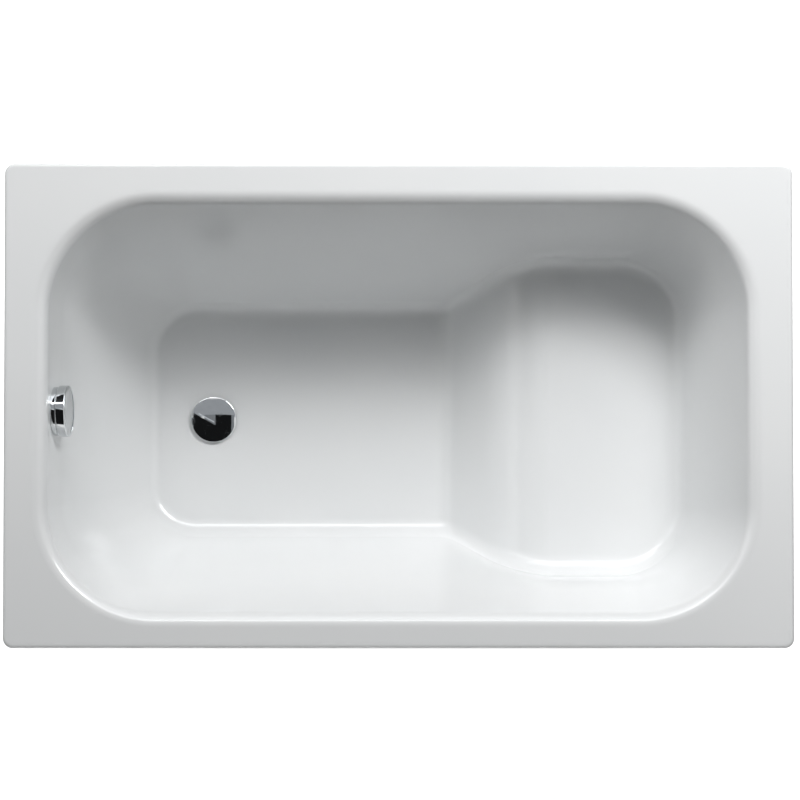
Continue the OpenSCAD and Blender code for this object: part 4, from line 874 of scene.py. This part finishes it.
ribs_in_all = math.floor((HOSE_L - 2 * CUFF_L) / RIB_PITCH)
rib_step = (HOSE_L - 2 * CUFF_L) / ribs_in_all
outline = [(BORE_R, 0), (CUFF_R - 0.4, 0), (CUFF_R, 0.4)]
for i in range(ribs_in_all):
    start = CUFF_L + i * rib_step
    for out, along in ((0, 0), (0.15, 0.16), (1.8, 0.3), (2, 0.4), (2, 0.6), (1.8, 0.7), (0.15, 0.84)):
        outline.append((CUFF_R + out, start + along * rib_step))
outline += [(CUFF_R, HOSE_L - CUFF_L), (CUFF_R, HOSE_L - 0.4), (CUFF_R - 0.4, HOSE_L), (BORE_R, HOSE_L)]
bore_steps = 40
outline += [(BORE_R, HOSE_L * i / bore_steps) for i in range(bore_steps - 1, 0, -1)]
add_piece("overflow_hose_ribbed", bent(spun(outline, steps=36), 0), [hose_skin], "tub",
          ["overflow_hose"], sharp=60)


# Grip nuts
# Moulded nuts with finger ribs. Each draws a rubber seal onto a spigot: two on the hose, one under the
# waste body and one on the trap's branch.
def grip_nut(radius, bore, lip_bore, height, ribs, place):
    """A ribbed nut along Z, open at its foot, whose lip at the top is 2.5 thick."""
    lip = 2.5
    collar = spun([(bore, 0), (radius - 0.6, 0), (radius, 0.6), (radius, height - 1.4)]
                  + arc((radius - 1.4, height - 1.4), 1.4, 0, 90, 4)
                  + [(lip_bore, height), (lip_bore, height - lip), (bore, height - lip)], steps=72)
    rib = spun([(0, 0.6), (1.4, 0.6), (2, 1.4), (2, height - 3), (1.2, height - 1.6), (0, height - 1.2)],
               at(radius - 0.6, 0, 0), steps=16)
    return placed(gathered(collar, repeated(rib, turns(ribs))), place)


HOSE_NUT_R, HOSE_NUT_L, HOSE_NUT_RIBS = 20, 26, 12
hose_end_x = DRAIN_X - CUP_R - SPIGOT_L - 0.3
upside_down = Matrix.Rotation(math.pi, 4, "X")
for name, place in (("upper", at(HOSE_X, WELL_Y, HOSE_TOP_Z + GRIP) @ upside_down),
                    ("lower", along_hose(hose_end_x + GRIP, WELL_Y, INLET_Z))):
    hose_nut = grip_nut(HOSE_NUT_R, SPIGOT_R + 0.3, CUFF_R + 0.3, HOSE_NUT_L, HOSE_NUT_RIBS, place)
    add_moulding("hose_grip_nut_" + name, hose_nut, name + "_hose_nut")
dress(rubber, "hose_seals", "trap_inlet_seal", "outlet_seal")


# Control cable
# A steel wire in a black plastic sleeve beside the hose. Plated ferrules seat it in the two bosses.
SLEEVE_R, FERRULE_R, FERRULE_L = 3, 4.5, 14
sleeve_from = HOSE_TOP_Z - CABLE_TOP_Z + FERRULE_L
sleeve_to = HOSE_L + SPIGOT_L - BOSS_L - FERRULE_L

# Extruded plastic sleeve: black with a soft sheen and fine lines along it from the die
sleeve_skin, tree, shader, _, scuffs = toned_finish("extruded_black_sleeve", 120.0, 4.0, "#141516",
                                                    "#2B2C2E", IOR=1.5)
worn = add_node(tree, "MapRange", {}, {0: scuffs, 3: 0.32, 4: 0.55})
wire(tree, shader, {"Roughness": worn.outputs[0]})

sleeve_steps = 60
outline = [(0, sleeve_from)] + [(SLEEVE_R, sleeve_from + (sleeve_to - sleeve_from) * i / sleeve_steps)
                                for i in range(sleeve_steps + 1)] + [(0, sleeve_to)]
add_piece("control_cable_sleeve", bent(spun(outline, steps=20), CABLE_OFF), [sleeve_skin],
          "tub", ["cable_sleeve"], sharp=60)

ferrule = spun([(0, 0), (FERRULE_R - 0.4, 0), (FERRULE_R, 0.4), (FERRULE_R, 4), (FERRULE_R - 0.7, 4.7),
                (FERRULE_R - 0.7, 6.3), (FERRULE_R, 7), (FERRULE_R, FERRULE_L - 1),
                (FERRULE_R - 1, FERRULE_L), (0, FERRULE_L)], steps=36)
ferrule_places = [at(HOSE_X, WELL_Y - CABLE_OFF, CABLE_TOP_Z) @ upside_down,
                  along_hose(DRAIN_X - CUP_R - BOSS_L, WELL_Y - CABLE_OFF, INLET_Z)]
add_piece("control_cable_ferrules", repeated(ferrule, ferrule_places), [zinc_plate], "tub",
          ["cable_ferrules"])


# Trap
# A moulded bottle trap under the waste body. Water comes down a dip tube into the bowl and leaves
# higher up by the branch. Grip nuts join it to the tail above and to the outlet pipe beside it.
BOWL_R, BOWL_Z, BOWL_TOP_Z, LID_T = 42, 22, 84, 4
DIP_R, DIP_END_Z, TRAP_TOP_Z, INLET_FLANGE_T = 19, 39, 104.5, 4
BRANCH_Z, BRANCH_R, BRANCH_L, OUTLET_R, OUTLET_L = 58, 23.3, 30, 20, 110
UNION_NUT_R, UNION_NUT_L, UNION_NUT_TOP_Z = 29, 22, 119.7
OUTLET_NUT_R, OUTLET_NUT_L, TRAP_NUT_RIBS = 29.3, 20, 16
PIPE_BEAD = 28.3
OUTLET_X = DRAIN_X - BOWL_R - 10

union_nut = grip_nut(UNION_NUT_R, TAIL_R + 0.3, DIP_R + 0.3, UNION_NUT_L, TRAP_NUT_RIBS,
                     at_drain(UNION_NUT_TOP_Z) @ upside_down)
add_moulding("trap_union_nut_ribbed", union_nut, "trap_union_nut")

inlet = spun([(DIP_R - WALL, DIP_END_Z), (DIP_R - 0.5, DIP_END_Z), (DIP_R, DIP_END_Z + 0.5),
              (DIP_R, BOWL_TOP_Z - 5), (BOWL_R - WALL - 0.8, BOWL_TOP_Z - 5),
              (BOWL_R - WALL - 0.3, BOWL_TOP_Z - 4.5), (BOWL_R - WALL - 0.3, BOWL_TOP_Z),
              (BOWL_R - 0.4, BOWL_TOP_Z + 0.1), (BOWL_R, BOWL_TOP_Z + 0.5)]
             + arc((BOWL_R - 1.2, BOWL_TOP_Z + LID_T - 1.2), 1.2, 0, 90, 4)
             + arc((DIP_R + 2, BOWL_TOP_Z + LID_T + 2), 2, 270, 180, 4)
             + [(DIP_R, TRAP_TOP_Z - INLET_FLANGE_T), (TAIL_R - 0.6, TRAP_TOP_Z - INLET_FLANGE_T),
                (TAIL_R, TRAP_TOP_Z - INLET_FLANGE_T + 0.6), (TAIL_R, TRAP_TOP_Z - 0.5),
                (TAIL_R - 0.5, TRAP_TOP_Z), (DIP_R - WALL, TRAP_TOP_Z)], at_drain(0), steps=96)
lid_web = block((DIP_R - 1, -1, BOWL_TOP_Z + LID_T - 1), (BOWL_R - 4, 1, BOWL_TOP_Z + LID_T + 3.5), 0.5)
lid_webs = repeated(lid_web, [at_drain(0) @ turn for turn in turns(8)])
add_moulding("trap_inlet_moulded", gathered(inlet, lid_webs), "trap_inlet")

bowl = spun([(0, BOWL_Z), (BOWL_R - 16, BOWL_Z), (BOWL_R - 14.5, BOWL_Z + 0.8), (BOWL_R - 12, BOWL_Z + 0.8),
             (BOWL_R - 10.5, BOWL_Z)] + arc((BOWL_R - 7, BOWL_Z + 7), 7, -90, 0, 8)
            + [(BOWL_R, BOWL_TOP_Z - 10), (BOWL_R + 0.6, BOWL_TOP_Z - 9.4), (BOWL_R + 0.6, BOWL_TOP_Z - 6.6),
               (BOWL_R, BOWL_TOP_Z - 6), (BOWL_R, BOWL_TOP_Z - 0.4), (BOWL_R - 0.4, BOWL_TOP_Z),
               (BOWL_R - WALL, BOWL_TOP_Z)] + arc((BOWL_R - WALL - 5, BOWL_Z + WALL + 5), 5, 0, -90, 6)
            + [(0, BOWL_Z + WALL)], steps=96)
at_branch = along_hose(0, 0, BRANCH_Z)
bowl = cut_with(bowl, cylinder(along_hose(-BOWL_R, 0, BRANCH_Z), OUTLET_R - WALL))
branch = tube(BRANCH_R - 0.5, OUTLET_R + 0.3, BOWL_R - 8, BOWL_R + BRANCH_L, at_branch)
branch_thread = thread(BRANCH_R - 0.5, 3, 0.5, BOWL_R + 12, BOWL_R + BRANCH_L - 2, at_branch)
branch_foot = spun(arc((BRANCH_R + 3, BOWL_R + 1.5), 3, 180, 250, 4) + [(BRANCH_R - 1.5, BOWL_R - 8)],
                   at_branch, steps=64)
trap = placed(gathered(bowl, branch, branch_thread, branch_foot), at_drain(0))
add_moulding("trap_bowl_moulded", trap, "trap_bowl")

outlet_nut = grip_nut(OUTLET_NUT_R, BRANCH_R + 0.3, OUTLET_R + 0.3, OUTLET_NUT_L, TRAP_NUT_RIBS,
                      along_hose(OUTLET_X - GRIP, WELL_Y, BRANCH_Z))
add_moulding("outlet_grip_nut", outlet_nut, "outlet_nut")
pipe = spun([(OUTLET_R - WALL, 0), (OUTLET_R - 0.6, 0), (OUTLET_R, 0.6), (OUTLET_R, PIPE_BEAD - 0.6),
             (OUTLET_R + 1.4, PIPE_BEAD), (OUTLET_R + 2, PIPE_BEAD + 0.6), (OUTLET_R + 2, PIPE_BEAD + 2.4),
             (OUTLET_R + 1.4, PIPE_BEAD + 3), (OUTLET_R, PIPE_BEAD + 3.6), (OUTLET_R, OUTLET_L - 1.2),
             (OUTLET_R - 1.2, OUTLET_L), (OUTLET_R - WALL, OUTLET_L)],
            along_hose(OUTLET_X, WELL_Y, BRANCH_Z), steps=72)
add_moulding("outlet_pipe_moulded", pipe, "outlet_pipe")


# Rails
# Two channels folded from galvanised sheet lie across under the floor and under the seat. Each carries
# the shell on two rubber pads and has a threaded leg at each end.
RAIL_W, RAIL_L, RAIL_H, RAIL_T = 40, 556, 26, 2.5
DEEP_RAIL_X, DEEP_RAIL_TOP, SEAT_RAIL_X, SEAT_RAIL_TOP = -190, 176, 315, 304
FOOT_SPAN = 520
ROD_R, NUT_R, NUT_H = 6, 10.4, 10
PAD_L, PAD_T, PAD_RIB_PITCH, DEEP_PAD_Y, SEAT_PAD_Y = 60, 3, 7.43, 119, 152.3

# Galvanised sheet: dull silver zinc whose crystals, some millimetres wide, catch the light unevenly
galvanised, tree, shader = new_finish("hot_dip_galvanised_sheet", Metallic=1.0)
place = add_node(tree, "TexCoord", {}, {}).outputs["Object"]
crystals = add_node(tree, "TexVoronoi", {}, {"Vector": place, "Scale": 150.0})
spangle = add_node(tree, "Mix", {"data_type": "RGBA"}, {
    0: crystals.outputs["Color"], 6: linear("#8D9499"), 7: linear("#B7BDC1")})
stains = add_node(tree, "TexNoise", {}, {"Vector": place, "Scale": 14.0, "Detail": 5.0})
dirt = add_node(tree, "MapRange", {}, {0: stains.outputs[0], 1: 0.5, 2: 0.8, 3: 0.0, 4: 0.35})
dusted = add_node(tree, "Mix", {"data_type": "RGBA"}, {
    0: dirt.outputs[0], 6: spangle.outputs[2], 7: linear("#D2D3D0")})
matt = add_node(tree, "MapRange", {}, {0: crystals.outputs["Color"], 3: 0.34, 4: 0.52})
wire(tree, shader, {"Base Color": dusted.outputs[2], "Roughness": matt.outputs[0]})


def drawn(outline, start, end):
    """A solid drawn along Y from a closed outline of (x, z) points."""
    shape = bmesh.new()
    corners = [shape.verts.new((x, start, z)) for x, z in outline]
    sides = [shape.edges.new(pair) for pair in zip(corners, corners[1:] + corners[:1])]
    face = bmesh.ops.edgeloop_fill(shape, edges=sides)["faces"]
    pulled = bmesh.ops.extrude_face_region(shape, geom=face, use_keep_orig=True)["geom"]
    bmesh.ops.translate(shape, vec=(0, end - start, 0),
                        verts=[v for v in pulled if isinstance(v, bmesh.types.BMVert)])
    bmesh.ops.recalc_face_normals(shape, faces=shape.faces)
    return shape


half_w, inner_r = RAIL_W / 2, 1.5
bend_r = RAIL_T + inner_r
left_bend, right_bend = (bend_r - half_w, -bend_r), (half_w - bend_r, -bend_r)
channel = ([(-half_w, -RAIL_H)] + arc(left_bend, bend_r, 180, 90, 6) + arc(right_bend, bend_r, 90, 0, 6)
           + [(half_w, -RAIL_H), (half_w - RAIL_T, -RAIL_H)] + arc(right_bend, inner_r, 0, 90, 4)
           + arc(left_bend, inner_r, 90, 180, 4) + [(RAIL_T - half_w, -RAIL_H)])
for name, rail_x, rail_top, pad_y in (("deep_rail", DEEP_RAIL_X, DEEP_RAIL_TOP, DEEP_PAD_Y),
                                      ("seat_rail", SEAT_RAIL_X, SEAT_RAIL_TOP, SEAT_PAD_Y)):
    rail = drawn(channel, -RAIL_L / 2, RAIL_L / 2)
    for side in (-1, 1):
        rail = cut_with(rail, cylinder(at(0, side * FOOT_SPAN / 2, 0), ROD_R + 0.5))
    rail = placed(rail, at(rail_x, WELL_Y, rail_top))
    add_piece(name + "_folded", rail, [galvanised], "tub", [name])
    rib_places = [at(0, -PAD_L / 2 + 4 + PAD_RIB_PITCH * i, 0) for i in range(8)]
    pad = gathered(block((2 - half_w, -PAD_L / 2, 0), (half_w - 2, PAD_L / 2, PAD_T - 0.8), 0.4),
                   repeated(block((2.5 - half_w, -2, 1), (half_w - 2.5, 2, PAD_T), 0.5), rib_places))
    pads = repeated(pad, [at(rail_x, WELL_Y + side * pad_y, rail_top) for side in (-1, 1)])
    add_rubber(name + "_rubber_pads", pads, name + "_pads")


# Legs
# A zinc-plated threaded rod runs through a nut welded on the rail, and a nut below the rail locks it.
# It turns by its hexagon in a moulded foot with a rubber sole, so the bath can be levelled.
ROD_FOOT_Z, FOOT_Z, FOOT_H, FOOT_R, SOLE_R, SOLE_T = 8, 4, 16, 24, 22, 4
SOLE_GROOVES = (5, 9, 13, 17)
WRENCH_Z, WRENCH_H, PITCH, THREAD_D, ROD_ABOVE_RAIL = 21, 8, 1.75, 0.95, 32

# Glass-filled nylon: charcoal, matt, streaked faintly by the fibres under its skin
nylon, tree, shader, _, fibres = toned_finish("glass_filled_nylon", 260.0, 6.0, "#26282A", "#46494B",
                                              Roughness=0.5, IOR=1.53)
wire(tree, fibres.node, {"Roughness": 0.7})
relief = add_node(tree, "Bump", {}, {"Height": fibres, "Strength": 0.2, "Distance": 0.0002})
wire(tree, shader, {"Normal": relief.outputs[0]})


def at_leg(x, side, height=0):
    return at(x, WELL_Y + side * FOOT_SPAN / 2, height)


weld = block((8.2, -4.5, -0.4), (11.2, 4.5, 2.2), 1.1, segments=3)
welded = gathered(hexagon_nut(NUT_R, ROD_R, 0, NUT_H), repeated(weld, turns(3, 30)))
legs = [(end + where, x, side, top)
        for end, x, top in (("drain_", DEEP_RAIL_X, DEEP_RAIL_TOP), ("seat_", SEAT_RAIL_X, SEAT_RAIL_TOP))
        for where, side in (("front", -1), ("wall", 1))]
rod_holes = [at_leg(x, side, top) for _, x, side, top in legs]
add_piece("rail_weld_nuts", repeated(welded, rod_holes), [zinc_plate], "tub", ["weld_nuts"])
lock_nut = hexagon_nut(NUT_R, ROD_R, -RAIL_T - NUT_H, -RAIL_T)
add_piece("rail_lock_nuts", repeated(lock_nut, rod_holes), [zinc_plate], "tub", ["lock_nuts"])

for name, leg_x, side, rail_top in legs:
    rod_top = rail_top + ROD_ABOVE_RAIL
    core_r = ROD_R - THREAD_D
    core = spun([(0, ROD_FOOT_Z), (core_r, ROD_FOOT_Z), (core_r, rod_top - 1), (core_r - 1, rod_top),
                 (0, rod_top)], steps=24)
    wrench = hexagon_nut(NUT_R - 0.4, ROD_R - 1, WRENCH_Z, WRENCH_Z + WRENCH_H)
    screw = thread(core_r, PITCH, THREAD_D, WRENCH_Z + WRENCH_H + 1, rod_top - 1.6, steps=20)
    rod = placed(gathered(core, wrench, screw), at_leg(leg_x, side))
    add_piece("threaded_rod_" + name, rod, [zinc_plate], "leg_" + name, ["leg_rod_" + name])

    cone = spun([(0, 0), (FOOT_R - 0.6, 0), (FOOT_R, 0.6), (FOOT_R, 2.7), (FOOT_R - 0.6, 3.8),
                 (FOOT_R - 2, 5.3), (14, 8.2), (12.4, 9.4), (11, 15), (10.3, FOOT_H), (ROD_R + 0.1, FOOT_H),
                 (ROD_R + 0.1, 4), (0, 4)], steps=64)
    rib = block((9, -0.9, 3), (FOOT_R - 1, 0.9, FOOT_H - 1), 0.3)
    ribs = repeated(sliced(rib, (FOOT_R - 2, 0, 5.3), (9.7, 0, 11)), turns(8))
    foot = placed(gathered(cone, ribs), at_leg(leg_x, side, FOOT_Z))
    add_piece("moulded_foot_" + name, foot, [nylon], "leg_" + name, ["foot_" + name])

    grooved = [(0, 0)]
    for groove_r in SOLE_GROOVES:
        grooved += [(groove_r - 1, 0), (groove_r - 0.6, 1), (groove_r + 0.6, 1), (groove_r + 1, 0)]
    grooved += [(SOLE_R - 0.8, 0), (SOLE_R, 0.8), (SOLE_R, SOLE_T), (0, SOLE_T)]
    sole = spun(grooved, at_leg(leg_x, side), steps=64)
    add_rubber("rubber_sole_" + name, sole, "sole_" + name, "leg_" + name)


# Damping mats
# Soft bitumen sheets stuck under the floor and under the seat, so that the steel doesn't ring when
# water falls on it. Their corners are cut round, and a roller has pressed a fine grain in them.
MAT_T, MAT_HALF_W, MAT_CORNER_R = 2.5, 149, 9
FLOOR_MAT_X, SEAT_MAT_X = (-145, 55), (236.8, 282.5)

# Bitumen felt: near black, dull, with a pressed grain 4 mm wide and patches of paler dust on it
bitumen, tree, shader = new_finish("pressed_bitumen_felt", Roughness=0.66)
place = add_node(tree, "TexCoord", {}, {}).outputs["Object"]
pressed = add_node(tree, "TexVoronoi", {}, {"Vector": place, "Scale": 250.0})
dust = add_node(tree, "TexNoise", {}, {"Vector": place, "Scale": 18.0, "Detail": 5.0})
dusty = add_node(tree, "MapRange", {}, {0: dust.outputs[0], 1: 0.45, 2: 0.75, 3: 0.0, 4: 0.5})
tar = add_node(tree, "Mix", {"data_type": "RGBA"}, {
    0: pressed.outputs["Distance"], 6: linear("#232223"), 7: linear("#333132")})
felt = add_node(tree, "Mix", {"data_type": "RGBA"}, {
    0: dusty.outputs[0], 6: tar.outputs[2], 7: linear("#4F4C49")})
relief = add_node(tree, "Bump", {}, {
    "Height": pressed.outputs["Distance"], "Strength": 0.5, "Distance": 0.0006})
wire(tree, shader, {"Base Color": felt.outputs[2], "Normal": relief.outputs[0]})

for name, (mat_from, mat_to), depth in (("floor_damping_mat", FLOOR_MAT_X, DEEP_D),
                                        ("seat_damping_mat", SEAT_MAT_X, SEAT_D)):
    under_z = RIM_Z - depth - SHEET
    mat = block((mat_from, WELL_Y - MAT_HALF_W, under_z - MAT_T), (mat_to, WELL_Y + MAT_HALF_W, under_z),
                MAT_CORNER_R, segments=6, edges="z")
    lower = [e for e in mat.edges if all(v.co.z < under_z - 1 for v in e.verts)]
    add_piece(name + "_sheet", bevelled(mat, lower, 0.9, 3), [bitumen], "tub", [name])


# Earth tab
# A steel angle welded under the floor. The bonding wire is screwed to its hole.
TAB_AT, TAB_W, TAB_T, TAB_H = Vector((-229, 93.5, FLOOR_Z - SHEET)), 26, 3, 30
EARTH_HOLE_R, EARTH_HOLE_Z = 3.2, -18

angle = drawn([(0, -TAB_H), (0, -4)] + arc((4, -4), 4, 180, 90, 6) + [(TAB_W, 0), (TAB_W, -TAB_T)]
              + arc((TAB_T + 1, -TAB_T - 1), 1, 90, 180, 4) + [(TAB_T, -TAB_H)], -TAB_W / 2, TAB_W / 2)
free_corners = [e for e in angle.edges if all(abs(v.co.z + TAB_H) < 0.1 for v in e.verts)
                and abs(e.calc_length() - TAB_T) < 0.1]
at_hole = at(0, 0, EARTH_HOLE_Z) @ Matrix.Rotation(math.pi / 2, 4, "Y")
angle = cut_with(bevelled(angle, free_corners, 5, 5), cylinder(at_hole, EARTH_HOLE_R))
bead_along = block((6, -2.2, -TAB_T - 0.2), (TAB_W - 2, 1.2, 0), 1.3, segments=3)
beads = repeated(bead_along, [Matrix.Diagonal((1, side, 1, 1)) @ at(0, TAB_W / 2, 0)
                              for side in (-1, 1)])
bmesh.ops.recalc_face_normals(beads, faces=beads.faces)
tab = placed(gathered(angle, beads), Matrix.Translation(TAB_AT) @ Matrix.Rotation(math.pi / 2, 4, "Z"))
add_piece("earth_tab_welded", tab, [galvanised], "tub", ["earth_tab"])


# Studio
# A floor that is white to the camera, three soft boxes high on the wall side, one near the seat and one
# low in front. Cards that only mirrors show stand in for a dark room with a bright window.
def add_lamp(name, place, aim, width, height, watts):
    lamp = bpy.data.objects.new(name, bpy.data.lights.new(name, "AREA"))
    bpy.context.scene.collection.objects.link(lamp)
    lamp.data.shape = "RECTANGLE"
    lamp.data.size, lamp.data.size_y, lamp.data.energy = width, height, watts
    lamp.location = place
    lamp.rotation_euler = (Vector(aim) - Vector(place)).to_track_quat("-Z", "Y").to_euler()


def add_card(name, centre, turn, width, height, brightness):
    """A card that shows only as a reflection, in the chrome and in the enamel's gloss."""
    shape = bmesh.new()
    bmesh.ops.create_grid(shape, x_segments=1, y_segments=1, size=0.5, matrix=Matrix.Translation(centre)
                          @ turn @ Matrix.Diagonal((width, height, 1, 1)))
    card = as_object(name, shape)
    card.visible_camera = card.visible_diffuse = card.visible_shadow = card.visible_transmission = False
    finish, tree, _ = new_finish(name + "_cloth")
    glow = add_node(tree, "Emission", {}, {"Color": linear("#E9EDF2"), "Strength": brightness})
    wire(tree, tree.nodes["Material Output"], {"Surface": glow.outputs[0]})
    card.data.materials.append(finish)


for turn, height, watts in ((90, 43, 46), (120, 43, 56), (150, 32, 19)):
    away = (Matrix.Rotation(math.radians(turn), 3, "Z") @ Matrix.Rotation(math.radians(-height), 3, "Y")
            @ Vector((4.5, 0, 0)))
    add_lamp("wall_side_soft_box", away + Vector((0, 0, 0.5)), (0, 0, 0.4), 1.8, 1.8, watts)
add_lamp("near_soft_box", (1.1, 1.5, 2.3), (0.6, 0.9, 0.4), 1.0, 0.6, 38)
add_lamp("low_front_soft_box", (0.2, -3.2, 0.28), (0, 0, 0.26), 2.6, 0.42, 32)

slant, upright = Matrix.Rotation(math.radians(-28.6), 4, "Z"), Matrix.Rotation(math.pi / 2, 4, "X")
add_card("dark_overhead", (0.09, -1.45, 2.2), Matrix(), 0.78, 3.5, 0.012)
add_card("dark_slanted", (-1.55, -1.45, 2.2), slant, 3.0, 3.4, 0.012)
add_card("bright_edge", (-0.75, 0.16, 2.19), slant, 0.88, 0.035, 1.0)
add_card("grey_gap", (-0.1, -0.4, 2.25), Matrix(), 1.5, 1.4, 0.3)
add_card("grey_overhead", (-0.5, 0.8, 2.6), Matrix(), 3.4, 1.1, 0.47)
add_card("bright_window", (0.9, 3.2, 3.0), upright, 7.5, 3.0, 3.2)
add_card("dark_side", (-1.4, 1.2, 1.3), upright, 1.6, 1.4, 0.02)

world = bpy.data.worlds.new("studio")
bpy.context.scene.world = world
world.use_nodes = True
tree = world.node_tree
rays = add_node(tree, "LightPath", {}, {})
mirrored = add_node(tree, "Math", {"operation": "MAXIMUM"}, {
    0: rays.outputs["Is Glossy Ray"], 1: rays.outputs["Is Transmission Ray"]})
seen = add_node(tree, "Math", {"operation": "MAXIMUM"}, {
    0: mirrored.outputs[0], 1: rays.outputs["Is Camera Ray"]})
light = add_node(tree, "MapRange", {}, {0: seen.outputs[0], 3: 0.1, 4: 1.0})
wire(tree, tree.nodes["Background"], {"Color": (1, 1, 1, 1), "Strength": light.outputs[0]})

# The floor lies as low as the feet reach when their legs are screwed out
LEG_TRAVEL = 0.02
floor_shape = bmesh.new()
bmesh.ops.create_grid(floor_shape, x_segments=1, y_segments=1, size=20,
                      matrix=at(0, 0, -LEG_TRAVEL))
studio_floor = as_object("studio_floor", floor_shape)
paper, tree, shader = new_finish("white_backdrop_paper", Base_Color=linear("#F2F2F2"), Roughness=0.9)
rays = add_node(tree, "LightPath", {}, {})
glow = add_node(tree, "Emission", {}, {"Strength": 0.85})
lit = add_node(tree, "AddShader", {}, {0: shader.outputs[0], 1: glow.outputs[0]})
shown = add_node(tree, "MixShader", {}, {
    0: rays.outputs["Is Camera Ray"], 1: shader.outputs[0], 2: lit.outputs[0]})
wire(tree, tree.nodes["Material Output"], {"Surface": shown.outputs[0]})
studio_floor.data.materials.append(paper)

bpy.context.scene.view_settings.view_transform = "Standard"
